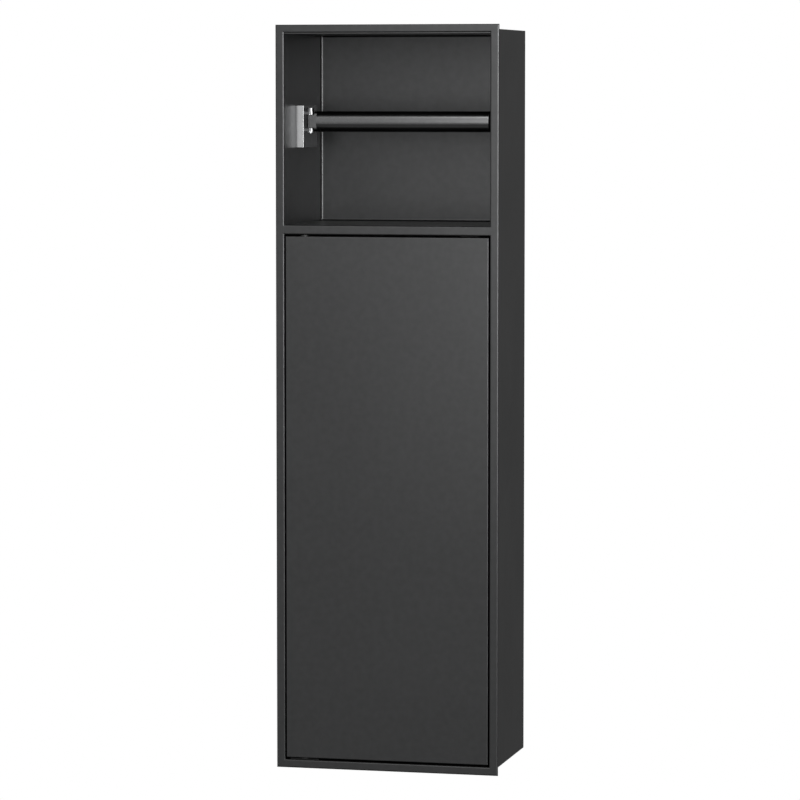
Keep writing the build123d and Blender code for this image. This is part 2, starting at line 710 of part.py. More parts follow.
def bracket_body():
    """The cast cover over the base, with the two fixed ears of the roll bar's hinge."""
    bottom, top = BRACKET_Z - BRACKET_HEIGHT / 2, BRACKET_Z + BRACKET_HEIGHT / 2
    body = block((-OPEN_X, BRACKET_FACE), (BRACKET_FRONT, BRACKET_BACK), (bottom, top))
    body = fillet(edges_at(body, Axis.X, BRACKET_FACE), BRACKET_EDGE_R) + hinge_ears()
    low, high = BAR_Z - KNUCKLE_HEIGHT / 2, BAR_Z + KNUCKLE_HEIGHT / 2
    body -= rod("z", SWING_PIN_R, low - PAST, high + PAST, SWING_X, SWING_Y)
    seat = BAR_Z + SWING_PIN_SEAT
    body -= rod("z", SWING_PIN_HEAD_R, seat, seat + SWING_PIN_HEAD_T, SWING_X, SWING_Y)
    y, z = bracket_base_limits()
    pocket_y = (y[0] - BASE_MARGIN, y[1] + BASE_MARGIN)
    pocket_z = (z[0] - BASE_MARGIN, z[1] + BASE_MARGIN)
    body -= block((-OPEN_X - PAST, -OPEN_X + BASE_T), pocket_y, pocket_z)
    return body - rod("z", GRUB_R, bottom - PAST, pocket_z[0] + PAST, -OPEN_X + BASE_T / 2, BRACKET_Y)


def bracket_grub_screw():
    """The small screw under the bracket that locks its body on the base."""
    low = BRACKET_Z - BRACKET_HEIGHT / 2 + BRACKET_EDGE_R
    return rod("z", GRUB_R, low, bracket_base_limits()[1][0], -OPEN_X + BASE_T / 2, BRACKET_Y)


# Roll bar and its swing hinge


def swing_pin():
    """The vertical pin of the roll bar's hinge, with a flat head above the upper ear and a clip groove."""
    seat = BAR_Z + SWING_PIN_SEAT
    low = BAR_Z - KNUCKLE_HEIGHT / 2
    pin = rod("z", SWING_PIN_R, low - SWING_PIN_TAIL, seat, SWING_X, SWING_Y)
    return pin + rod("z", SWING_PIN_HEAD_R, seat, seat + SWING_PIN_HEAD_T, SWING_X, SWING_Y)


def swing_clip():
    """The clip on the pin's lower end."""
    high = BAR_Z - KNUCKLE_HEIGHT / 2
    clip = rod("z", CLIP_R, high - CLIP_T, high, SWING_X, SWING_Y)
    return clip - rod("z", SWING_PIN_R, high - CLIP_T - PAST, high + PAST, SWING_X, SWING_Y)


def swing_washers():
    """Thin washers above and below the eye, resting on the bar's eye and on the lower ear."""
    washers = []
    for side in (-1, 1):
        outer = BAR_Z + side * KNUCKLE_SLOT / 2
        low, high = sorted((outer, outer - side * WASHER_T))
        washer = rod("z", WASHER_R, low, high, SWING_X, SWING_Y)
        washers.append(washer - rod("z", SWING_HOLE_R, low - PAST, high + PAST, SWING_X, SWING_Y))
    return washers


def bar_knuckle():
    """The hinge's moving half: an eye on the pin, a flat-sided shoulder and a spigot in the tube."""
    shoulder_x = SWING_X + KNUCKLE_WIDTH / 2 + SWING_CLEARANCE
    half = EYE_HEIGHT / 2
    eye = rod("z", EYE_R, BAR_Z - half, BAR_Z + half, SWING_X, SWING_Y)
    eye += block((SWING_X, shoulder_x), (SWING_Y - EYE_R, SWING_Y + EYE_R), (BAR_Z - half, BAR_Z + half))
    knuckle = eye + knuckle_bar(shoulder_x, TUBE_START, KNUCKLE_HEIGHT)
    knuckle += rod("x", BAR_BORE_R, TUBE_START, TUBE_START + SPIGOT_LENGTH, SWING_Y, BAR_Z)
    return knuckle - rod("z", SWING_HOLE_R, BAR_Z - half - PAST, BAR_Z + half + PAST, SWING_X, SWING_Y)


def bar_tube():
    """The tube that the roll turns on."""
    tube = rod("x", BAR_R, TUBE_START, BAR_END - CAP_T, SWING_Y, BAR_Z)
    return tube - rod("x", BAR_BORE_R, TUBE_START - PAST, BAR_END, SWING_Y, BAR_Z)


def bar_cap():
    """The rounded cap plugged into the bar's free end."""
    cap = rod("x", BAR_R, BAR_END - CAP_T, BAR_END, SWING_Y, BAR_Z)
    cap = fillet(edges_at(cap, Axis.X, BAR_END), BAR_EDGE_R)
    plug_end = BAR_END - CAP_T
    return cap + rod("x", BAR_BORE_R, plug_end - CAP_PLUG_LENGTH, plug_end, SWING_Y, BAR_Z)


# Brush set


def brush_bracket_plate():
    """The plate on the back wall that carries the ring."""
    half = PLATE_WIDTH / 2
    middle = RING_TOP - RING_T / 2
    height = (middle - PLATE_HEIGHT / 2, middle + PLATE_HEIGHT / 2)
    plate = block((-half, half), (TRAY_BACK - PLATE_T, TRAY_BACK), height)
    for z in plate_screw_places():
        plate -= rod("y", TRAY_SCREW_R, TRAY_BACK - PLATE_T - PAST, TRAY_BACK + PAST, 0, z)
    return plate


def brush_bracket_screws():
    """The two screws of the brush bracket, threaded into the tray and the box's back together."""
    face = TRAY_BACK - PLATE_T
    return [
        rod("y", TRAY_SCREW_R, face, 0, 0, z)
        + rod("y", PLATE_SCREW_HEAD_R, face - PLATE_SCREW_HEAD_T, face, 0, z)
        for z in plate_screw_places()
    ]


def cup_ring():
    """The ring that the cup hangs in, with the arm that joins it to the plate."""
    half = ARM_WIDTH / 2
    low = RING_TOP - RING_T
    ring = rod("z", RING_INNER_R + RING_WIDTH, low, RING_TOP, 0, RING_Y)
    ring += block((-half, half), (RING_Y, TRAY_BACK - PLATE_T), (low, RING_TOP))
    return ring - rod("z", RING_INNER_R, low - PAST, RING_TOP + PAST, 0, RING_Y)


def brush_cup():
    """The metal cup, whose turned-out rim rests on the ring."""
    cup = rod("z", CUP_R, CUP_BOTTOM, CUP_TOP, 0, RING_Y)
    cup = fillet(edges_at(cup, Axis.Z, CUP_BOTTOM), CUP_EDGE_R)
    cup += rod("z", CUP_R + CUP_RIM_WIDTH, RING_TOP, CUP_TOP, 0, RING_Y)
    hollow = rod("z", CUP_R - CUP_WALL, CUP_BOTTOM + CUP_WALL, CUP_TOP + PAST, 0, RING_Y)
    return cup - fillet(edges_at(hollow, Axis.Z, CUP_BOTTOM + CUP_WALL), CUP_EDGE_R - CUP_WALL)


def cup_liner():
    """The plastic liner that catches the drips inside the cup."""
    low = CUP_BOTTOM + CUP_WALL
    liner = rod("z", LINER_R, low, CUP_TOP, 0, RING_Y)
    liner = fillet(edges_at(liner, Axis.Z, low), CUP_EDGE_R - CUP_WALL)
    hollow = rod("z", LINER_R - LINER_WALL, LINER_FLOOR, CUP_TOP + PAST, 0, RING_Y)
    return liner - hollow


def brush_tuft():
    """The brush's bristles as one rounded body round the core."""
    tuft = rod("z", TUFT_R, BRUSH_BOTTOM, TUFT_TOP, 0, RING_Y)
    tuft = fillet(edges_at(tuft, Axis.Z, BRUSH_BOTTOM) + edges_at(tuft, Axis.Z, TUFT_TOP), TUFT_EDGE_R)
    return tuft - rod("z", CORE_R, BRUSH_BOTTOM - PAST, TUFT_TOP + PAST, 0, RING_Y)


def brush_core():
    """The core that the bristles are set in, between the tuft's bottom and the lid."""
    core = rod("z", CORE_R, BRUSH_BOTTOM, CUP_TOP, 0, RING_Y)
    return core - rod("z", ROD_R, TUFT_TOP, CUP_TOP + PAST, 0, RING_Y)


def brush_lid():
    """The lid on the handle, which rests on the cup's rim and covers it."""
    lid = rod("z", LID_R, CUP_TOP, LID_TOP, 0, RING_Y)
    lid = fillet(edges_at(lid, Axis.Z, LID_TOP), LID_EDGE_R)
    return lid - rod("z", ROD_R, CUP_TOP - PAST, LID_TOP + PAST, 0, RING_Y)


def brush_rod():
    """The rod from the core up into the grip."""
    return rod("z", ROD_R, TUFT_TOP, GRIP_TOP, 0, RING_Y)


def brush_grip():
    """The thicker grip at the top of the handle."""
    grip = rod("z", GRIP_R, GRIP_BOTTOM, GRIP_TOP, 0, RING_Y)
    grip = fillet(edges_at(grip, Axis.Z, GRIP_BOTTOM), GRIP_EDGE_R)
    return grip - rod("z", ROD_R, GRIP_BOTTOM - PAST, GRIP_TOP + PAST, 0, RING_Y)


def grip_cap():
    """The rounded cap on the grip."""
    cap = rod("z", GRIP_R, GRIP_TOP, BRUSH_TOP, 0, RING_Y)
    return fillet(edges_at(cap, Axis.Z, BRUSH_TOP), GRIP_EDGE_R)


def nodes():
    """Every sub-part of the cabinet by its node name."""
    return {
        "front_frame": front_frame(),
        "box_left": box_side(-1),
        "box_right": box_side(1),
        "box_bottom": box_end(BOTTOM + FRAME_OVERHANG),
        "box_top": box_end(TOP - FRAME_OVERHANG - SHELL_T),
        "box_back": box_back(),
        "niche_tray": niche_tray(),
        "lower_tray": lower_tray(),
        "lower_tray_sides": lower_tray_sides(),
        "tray_spacers": tray_spacers(),
        "tray_screws": tray_screws(),
        "door_panel": door_panel(),
        "door_lining": door_lining(),
        "door_stiffener": door_stiffener(),
        "upper_bush": upper_bush(),
        "lower_bush": lower_bush(),
        "upper_pivot_plate": upper_pivot_plate(),
        "lower_pivot_plate": lower_pivot_plate(),
        "upper_pivot_pin": upper_pivot_pin(),
        "lower_pivot_pin": lower_pivot_pin(),
        "thrust_washer": thrust_washer(),
        "pivot_rivets": pivot_rivets(),
        "latch_housing": latch_housing(),
        "latch_plunger": latch_plunger(),
        "latch_magnet": latch_magnet(),
        "latch_spring": latch_spring(),
        "latch_screws": latch_screws(),
        "strike_plate": strike_plate(),
        "strike_screws": strike_screws(),
        "stop_brackets": stop_brackets(),
        "door_bumpers": door_bumpers(),
        "bracket_base": bracket_base(),
        "bracket_screws": bracket_screws(),
        "bracket_nuts": bracket_nuts(),
        "bracket_body": bracket_body(),
        "bracket_grub_screw": bracket_grub_screw(),
        "swing_pin": swing_pin(),
        "swing_clip": swing_clip(),
        "swing_washers": swing_washers(),
        "bar_knuckle": bar_knuckle(),
        "bar_tube": bar_tube(),
        "bar_cap": bar_cap(),
        "brush_bracket_plate": brush_bracket_plate(),
        "brush_bracket_screws": brush_bracket_screws(),
        "cup_ring": cup_ring(),
        "brush_cup": brush_cup(),
        "cup_liner": cup_liner(),
        "brush_tuft": brush_tuft(),
        "brush_core": brush_core(),
        "brush_lid": brush_lid(),
        "brush_rod": brush_rod(),
        "brush_grip": brush_grip(),
        "grip_cap": grip_cap(),
    }


def solids_of(shape):
    """The solids of one shape or of a list of shapes."""
    shapes = shape if isinstance(shape, list) else [shape]
    return [solid for item in shapes for solid in item.solids()]


os.makedirs("parts", exist_ok=True)
for name, shape in nodes().items():
    solids = solids_of(shape)
    export_step(solids[0] if len(solids) == 1 else Compound(children=solids), f"parts/{name}.step")
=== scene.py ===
"""The looks of a recessed toilet roll and brush cabinet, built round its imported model.

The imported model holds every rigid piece. This script gives each piece its finish, replaces the plain
stand-ins of the bracket, the fasteners, the rubber pads and the bristles with detailed meshes, and sets up
the camera, the lamps and a plain white room. Everything is in metres: +X is to the right for someone who
faces the cabinet, +Y goes into the wall and +Z is up.
"""

import logging
import math
from dataclasses import dataclass, field
from enum import Enum

import bmesh
import bpy
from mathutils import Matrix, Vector

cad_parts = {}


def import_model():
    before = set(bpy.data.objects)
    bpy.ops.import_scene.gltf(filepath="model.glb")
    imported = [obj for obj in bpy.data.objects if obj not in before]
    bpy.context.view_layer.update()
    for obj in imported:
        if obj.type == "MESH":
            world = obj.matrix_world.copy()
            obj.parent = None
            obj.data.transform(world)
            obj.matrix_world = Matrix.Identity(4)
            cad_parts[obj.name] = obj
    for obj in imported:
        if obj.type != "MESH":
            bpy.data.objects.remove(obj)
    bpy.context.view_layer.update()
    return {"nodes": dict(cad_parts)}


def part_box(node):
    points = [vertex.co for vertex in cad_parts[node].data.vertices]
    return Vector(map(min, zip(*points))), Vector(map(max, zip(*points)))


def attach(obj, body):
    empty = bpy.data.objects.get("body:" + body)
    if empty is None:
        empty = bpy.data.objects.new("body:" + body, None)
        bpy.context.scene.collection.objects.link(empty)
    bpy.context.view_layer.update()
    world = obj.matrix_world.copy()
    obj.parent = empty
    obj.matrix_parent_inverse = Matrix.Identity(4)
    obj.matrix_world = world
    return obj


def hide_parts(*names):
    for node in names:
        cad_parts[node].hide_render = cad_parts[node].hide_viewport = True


LOG = logging.getLogger("cabinet")
MM = 0.001
Point = tuple[float, float, float]
Colour = tuple[float, float, float]
Range = tuple[float, float]


def grey(level: float, warmth: float = 0.0) -> Colour:
    """Makes a neutral colour in linear light.

    Args:
        level: The colour's level, from 0 to 1.
        warmth: How far it turns to red (above 0) or to blue (below 0).

    Returns:
        The colour's red, green and blue.
    """
    return (level * (1 + warmth), level, level * (1 - warmth))


@dataclass
class Nodes:
    """Short calls that add nodes to one shader or geometry tree and link them."""

    tree: bpy.types.NodeTree

    def add(self, kind: str, inputs: dict | None = None, **settings) -> bpy.types.Node:
        """Adds a node, sets its properties and fills its inputs.

        Args:
            kind: The node's type name.
            inputs: Values or output sockets by input name or index.
            settings: Properties of the node itself.

        Returns:
            The new node.
        """
        node = self.tree.nodes.new(kind)
        for name, value in settings.items():
            setattr(node, name, value)
        for key, value in (inputs or {}).items():
            self.put(node.inputs[key], value)
        return node

    def put(self, socket: bpy.types.NodeSocket, value: object) -> None:
        """Fills one input.

        Args:
            socket: The input.
            value: An output socket to link to it, or its plain value.
        """
        if isinstance(value, bpy.types.NodeSocket):
            self.tree.links.new(value, socket)
        else:
            socket.default_value = value

    def math(self, operation: str, *values: object) -> bpy.types.NodeSocket:
        """Adds a Math node.

        Args:
            operation: The node's operation.
            values: Its inputs in order.

        Returns:
            The result's socket.
        """
        return self.add("ShaderNodeMath", dict(enumerate(values)), operation=operation).outputs[0]

    def vector(self, operation: str, *values: object) -> bpy.types.NodeSocket:
        """Adds a Vector Math node.

        Args:
            operation: The node's operation.
            values: Its inputs in order.

        Returns:
            The vector result's socket.
        """
        return self.add("ShaderNodeVectorMath", dict(enumerate(values)), operation=operation).outputs[0]

    def spread(
        self, value: object, low: object, high: object, to_low: object, to_high: object
    ) -> bpy.types.NodeSocket:
        """Maps a value from one range to another, and keeps it inside the second.

        Args:
            value: The value.
            low: Where the first range starts.
            high: Where it ends.
            to_low: Where the second range starts.
            to_high: Where it ends.

        Returns:
            The result's socket.
        """
        inputs = {"Value": value, "From Min": low, "From Max": high, "To Min": to_low, "To Max": to_high}
        return self.add("ShaderNodeMapRange", inputs).outputs["Result"]


def new_group(name: str, kind: str, inputs: dict[str, tuple], outputs: dict[str, str]) -> Nodes:
    """Makes an empty node group with named sockets.

    Args:
        name: The group's name.
        kind: ShaderNodeTree or GeometryNodeTree.
        inputs: Socket type and default (None for no default) by input name.
        outputs: Socket type by output name.

    Returns:
        The group's nodes, with one Group Input and one Group Output in place.
    """
    tree = bpy.data.node_groups.new(name, kind)
    for label, (socket_type, default) in inputs.items():
        socket = tree.interface.new_socket(label, in_out="INPUT", socket_type=socket_type)
        if default is not None:
            socket.default_value = default
    for label, socket_type in outputs.items():
        tree.interface.new_socket(label, in_out="OUTPUT", socket_type=socket_type)
    nodes = Nodes(tree)
    nodes.add("NodeGroupInput")
    nodes.add("NodeGroupOutput")
    return nodes


COARSE_SHARE = 0.12
FINE_WEIGHT = 0.6
GRAIN_RANGE: Range = (0.55, 1.05)
MARKS_RANGE: Range = (0.38, 0.66)
WEAR_SCALE = 90.0
WEAR_RANGE: Range = (0.35, 0.7)
WEAR_LEAST = 0.2
DUST_SLOPE = 0.75
DUST_RANGE: Range = (0.4, 0.7)
DUST_COLOUR: Colour = grey(0.32, 0.05)


class Effect(Enum):
    """The shader effects that several finishes share, each a node group that is built once."""

    GRAIN = "fine_grain"
    MARKS = "handling_marks"
    EDGE_WEAR = "edge_wear"
    DUST = "settled_dust"

    def tree(self) -> bpy.types.NodeTree:
        """Finds this effect's node group, and builds it at the first call.

        Returns:
            The node group.
        """
        existing = bpy.data.node_groups.get(self.value)
        if existing:
            return existing
        builders = {
            Effect.GRAIN: build_grain,
            Effect.MARKS: build_marks,
            Effect.EDGE_WEAR: build_edge_wear,
            Effect.DUST: build_dust,
        }
        return builders[self]()


def build_grain() -> bpy.types.NodeTree:
    """Builds the fine grain of a coated or brushed sheet, which can be drawn out along one axis.

    Returns:
        A group with a Height for a bump and a Shade from 0 to 1.
    """
    nodes = new_group(
        Effect.GRAIN.value,
        "ShaderNodeTree",
        {
            "Vector": ("NodeSocketVector", None),
            "Stretch": ("NodeSocketVector", (1.0, 1.0, 1.0)),
            "Scale": ("NodeSocketFloat", 900.0),
        },
        {"Height": "NodeSocketFloat", "Shade": "NodeSocketFloat"},
    )
    given = nodes.tree.nodes["Group Input"].outputs
    result = nodes.tree.nodes["Group Output"]
    place = nodes.vector("MULTIPLY", given["Vector"], given["Stretch"])
    fine = nodes.add("ShaderNodeTexNoise", {"Vector": place, "Scale": given["Scale"], "Detail": 2.0})
    coarse_scale = nodes.math("MULTIPLY", given["Scale"], COARSE_SHARE)
    coarse = nodes.add("ShaderNodeTexNoise", {"Vector": place, "Scale": coarse_scale, "Detail": 1.0})
    nodes.put(result.inputs["Height"], fine.outputs["Fac"])
    fine_part = nodes.math("MULTIPLY", fine.outputs["Fac"], FINE_WEIGHT)
    blend = nodes.math("ADD", fine_part, coarse.outputs["Fac"])
    nodes.put(result.inputs["Shade"], nodes.spread(blend, *GRAIN_RANGE, 0.0, 1.0))
    return nodes.tree


def build_marks() -> bpy.types.NodeTree:
    """Builds the broad, faint patches that wiping and handling leave in a gloss.

    Returns:
        A group with a Mask from 0 to 1.
    """
    nodes = new_group(
        Effect.MARKS.value,
        "ShaderNodeTree",
        {"Vector": ("NodeSocketVector", None), "Scale": ("NodeSocketFloat", 14.0)},
        {"Mask": "NodeSocketFloat"},
    )
    given = nodes.tree.nodes["Group Input"].outputs
    result = nodes.tree.nodes["Group Output"]
    patch = nodes.add(
        "ShaderNodeTexNoise",
        {"Vector": given["Vector"], "Scale": given["Scale"], "Detail": 4.0, "Distortion": 0.6},
    )
    nodes.put(result.inputs["Mask"], nodes.spread(patch.outputs["Fac"], *MARKS_RANGE, 0.0, 1.0))
    return nodes.tree


def build_edge_wear() -> bpy.types.NodeTree:
    """Builds a mask of the edges of a box-shaped piece, broken up by noise.

    A point lies near an edge where the second smallest of its three distances to the box's faces is small.

    Returns:
        A group with a Mask from 0 to 1.
    """
    nodes = new_group(
        Effect.EDGE_WEAR.value,
        "ShaderNodeTree",
        {
            "Vector": ("NodeSocketVector", None),
            "Centre": ("NodeSocketVector", (0.0, 0.0, 0.0)),
            "Half Size": ("NodeSocketVector", (0.1, 0.1, 0.1)),
            "Width": ("NodeSocketFloat", 0.001),
        },
        {"Mask": "NodeSocketFloat"},
    )
    given = nodes.tree.nodes["Group Input"].outputs
    result = nodes.tree.nodes["Group Output"]
    offset = nodes.vector("ABSOLUTE", nodes.vector("SUBTRACT", given["Vector"], given["Centre"]))
    gap = nodes.vector("SUBTRACT", given["Half Size"], offset)
    x, y, z = nodes.add("ShaderNodeSeparateXYZ", {0: gap}).outputs
    low = nodes.math("MINIMUM", x, y)
    high = nodes.math("MAXIMUM", x, y)
    middle = nodes.math("MAXIMUM", low, nodes.math("MINIMUM", high, z))
    near = nodes.spread(middle, 0.0, given["Width"], 1.0, 0.0)
    noise = {"Vector": given["Vector"], "Scale": WEAR_SCALE, "Detail": 5.0}
    breakup = nodes.add("ShaderNodeTexNoise", noise)
    broken = nodes.spread(breakup.outputs["Fac"], *WEAR_RANGE, WEAR_LEAST, 1.0)
    nodes.put(result.inputs["Mask"], nodes.math("MULTIPLY", near, broken))
    return nodes.tree


def build_dust() -> bpy.types.NodeTree:
    """Builds a mask of the faces that look up, where a little dust settles.

    Returns:
        A group with a Mask from 0 to 1.
    """
    nodes = new_group(
        Effect.DUST.value,
        "ShaderNodeTree",
        {"Vector": ("NodeSocketVector", None), "Scale": ("NodeSocketFloat", 60.0)},
        {"Mask": "NodeSocketFloat"},
    )
    given = nodes.tree.nodes["Group Input"].outputs
    result = nodes.tree.nodes["Group Output"]
    normal = nodes.add("ShaderNodeNewGeometry").outputs["Normal"]
    up = nodes.add("ShaderNodeSeparateXYZ", {0: normal}).outputs[2]
    speck = nodes.add(
        "ShaderNodeTexNoise", {"Vector": given["Vector"], "Scale": given["Scale"], "Detail": 6.0}
    )
    facing = nodes.spread(up, DUST_SLOPE, 1.0, 0.0, 1.0)
    patchy = nodes.spread(speck.outputs["Fac"], *DUST_RANGE, 0.0, 1.0)
    nodes.put(result.inputs["Mask"], nodes.math("MULTIPLY", facing, patchy))
    return nodes.tree


@dataclass(frozen=True)
class Finish:
    """The surface of one kind of material, turned into a node material for each piece that has it.

    The colours are in linear light. Roughness runs from `roughness[0]` to `roughness[1]` between clean and
    handled patches. The grain's height is in metres and its scale in grains per metre.
    """

    name: str
    colour: Colour
    shade: Colour
    roughness: Range
    metallic: float = 1.0
    grain_scale: float = 1400.0
    grain_height: float = 0.00001
    stretch: Point = (1.0, 1.0, 1.0)
    mark_scale: float = 14.0
    wear_colour: Colour = (0.3, 0.3, 0.31)
    wear_amount: float = 0.0
    wear_width: float = 0.0012
    dust_amount: float = 0.0
    specular: float = 0.5

    def material(self, piece: str, box: tuple[Vector, Vector]) -> bpy.types.Material:
        """Builds the material of one piece.

        Args:
            piece: The piece's name, which goes into the material's name.
            box: The piece's lowest and highest corners, for the wear on its edges.

        Returns:
            The new material.
        """
        material = bpy.data.materials.new(f"{self.name}-{piece}")
        material.use_nodes = True
        nodes = Nodes(material.node_tree)
        shader = material.node_tree.nodes["Principled BSDF"]
        shader.inputs["Metallic"].default_value = self.metallic
        shader.inputs["Specular IOR Level"].default_value = self.specular
        place = nodes.add("ShaderNodeTexCoord").outputs["Object"]
        grain = self.effect(nodes, Effect.GRAIN, place, {"Stretch": self.stretch, "Scale": self.grain_scale})
        marks = self.effect(nodes, Effect.MARKS, place, {"Scale": self.mark_scale})
        colour = self.blend(nodes, grain.outputs["Shade"], self.shade, self.colour)
        if self.wear_amount:
            sizes = {
                "Centre": (box[0] + box[1]) / 2,
                "Half Size": (box[1] - box[0]) / 2,
                "Width": self.wear_width,
            }
            wear = self.effect(nodes, Effect.EDGE_WEAR, place, sizes).outputs["Mask"]
            amount = nodes.math("MULTIPLY", wear, self.wear_amount)
            colour = self.blend(nodes, amount, colour, self.wear_colour)
        if self.dust_amount:
            dust = self.effect(nodes, Effect.DUST, place, {}).outputs["Mask"]
            amount = nodes.math("MULTIPLY", dust, self.dust_amount)
            colour = self.blend(nodes, amount, colour, DUST_COLOUR)
        nodes.put(shader.inputs["Base Color"], colour)
        rough = nodes.spread(marks.outputs["Mask"], 0.0, 1.0, self.roughness[0], self.roughness[1])
        nodes.put(shader.inputs["Roughness"], rough)
        bump = nodes.add(
            "ShaderNodeBump",
            {"Strength": 1.0, "Distance": self.grain_height, "Height": grain.outputs["Height"]},
        )
        nodes.put(shader.inputs["Normal"], bump.outputs["Normal"])
        return material

    def effect(
        self, nodes: Nodes, effect: Effect, place: bpy.types.NodeSocket, values: dict
    ) -> bpy.types.Node:
        """Places a shared effect in a material.

        Args:
            nodes: The material's nodes.
            effect: The effect.
            place: The coordinates that it follows.
            values: This finish's own values by input name.

        Returns:
            The effect's node.
        """
        group = nodes.add("ShaderNodeGroup", node_tree=effect.tree())
        for name, value in {"Vector": place, **values}.items():
            nodes.put(group.inputs[name], value)
        return group

    def blend(self, nodes: Nodes, amount: object, low: object, high: object) -> bpy.types.NodeSocket:
        """Mixes two colours.

        Args:
            nodes: The material's nodes.
            amount: The share of the second colour, from 0 to 1.
            low: The first colour.
            high: The second colour.

        Returns:
            The mixed colour's socket.
        """
        mix = nodes.add("ShaderNodeMix", data_type="RGBA")
        for socket, value in ((mix.inputs[0], amount), (mix.inputs[6], low), (mix.inputs[7], high)):
            nodes.put(socket, (*value, 1.0) if isinstance(value, tuple) else value)
        return mix.outputs[2]

    def dress(self, obj: bpy.types.Object) -> None:
        """Gives a piece this finish in place of what it has.

        Args:
            obj: A finished piece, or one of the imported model.
        """
        corners = [Vector(corner) for corner in obj.bound_box]
        low = Vector(min(corner[axis] for corner in corners) for axis in range(3))
        high = Vector(max(corner[axis] for corner in corners) for axis in range(3))
        material = self.material(obj.name, (low, high))
        obj.data.materials.clear()
        obj.data.materials.append(material)


GRAPHITE = Finish(
    name="graphite_coat",
    colour=grey(0.08, -0.01),
    shade=grey(0.072, -0.01),
    roughness=(0.34, 0.38),
    grain_height=0.000002,
    mark_scale=9.0,
    wear_amount=0.12,
)
GRAPHITE_BAR = Finish(
    name="graphite_bar",
    colour=grey(0.2, -0.01),
    shade=grey(0.185, -0.01),
    roughness=(0.19, 0.22),
    grain_scale=1800.0,
    grain_height=0.000001,
    wear_amount=0.05,
    wear_width=0.0006,
)
BLACKENED = Finish(
    name="blackened_steel",
    colour=grey(0.03),
    shade=grey(0.022),
    roughness=(0.4, 0.5),
    mark_scale=60.0,
)
ZINC = Finish(
    name="zinc_plate",
    colour=grey(0.48, -0.02),
    shade=grey(0.4, -0.02),
    roughness=(0.3, 0.42),
    mark_scale=60.0,
)
BRUSHED = Finish(
    name="brushed_steel",
    colour=grey(0.55),
    shade=grey(0.46),
    roughness=(0.24, 0.32),
    grain_scale=900.0,
    grain_height=0.000006,
    stretch=(1.0, 1.0, 0.02),
    dust_amount=0.12,
)
BLACK_PLASTIC = Finish(
    name="black_plastic",
    colour=grey(0.018),
    shade=grey(0.014),
    roughness=(0.42, 0.52),
    metallic=0.0,
    grain_scale=1200.0,
    grain_height=0.00002,
)
LINER_PLASTIC = Finish(
    name="liner_plastic",
    colour=grey(0.05, -0.02),
    shade=grey(0.042, -0.02),
    roughness=(0.38, 0.5),
    metallic=0.0,
    grain_scale=700.0,
    grain_height=0.00002,
)
BRISTLE_NYLON = Finish(
    name="bristle_nylon",
    colour=grey(0.03),
    shade=grey(0.018),
    roughness=(0.3, 0.4),
    metallic=0.0,
    grain_scale=300.0,
)
RUBBER = Finish(
    name="bumper_rubber",
    colour=grey(0.028, 0.02),
    shade=grey(0.02, 0.02),
    roughness=(0.6, 0.75),
    metallic=0.0,
    grain_scale=900.0,
    grain_height=0.00003,
    specular=0.3,
)
MAGNET = Finish(
    name="nickel_magnet",
    colour=grey(0.5, 0.02),
    shade=grey(0.44, 0.02),
    roughness=(0.18, 0.26),
    mark_scale=200.0,
)


@dataclass(frozen=True)
class SoftBox:
    """A rectangular studio lamp, turned towards one point."""

    name: str
    place: Point
    aim: Point
    width: float
    height: float
    watts: float

    def hang(self) -> bpy.types.Object:
        """Adds the lamp to the scene.

        Returns:
            The lamp.
        """
        lamp = bpy.data.lights.new(self.name, "AREA")
        lamp.shape = "RECTANGLE"
        lamp.size = self.width
        lamp.size_y = self.height
        lamp.energy = self.watts
        obj = bpy.data.objects.new(self.name, lamp)
        obj.location = self.place
        obj.rotation_euler = (Vector(self.aim) - Vector(self.place)).to_track_quat("-Z", "Y").to_euler()
        bpy.context.scene.collection.objects.link(obj)
        return obj


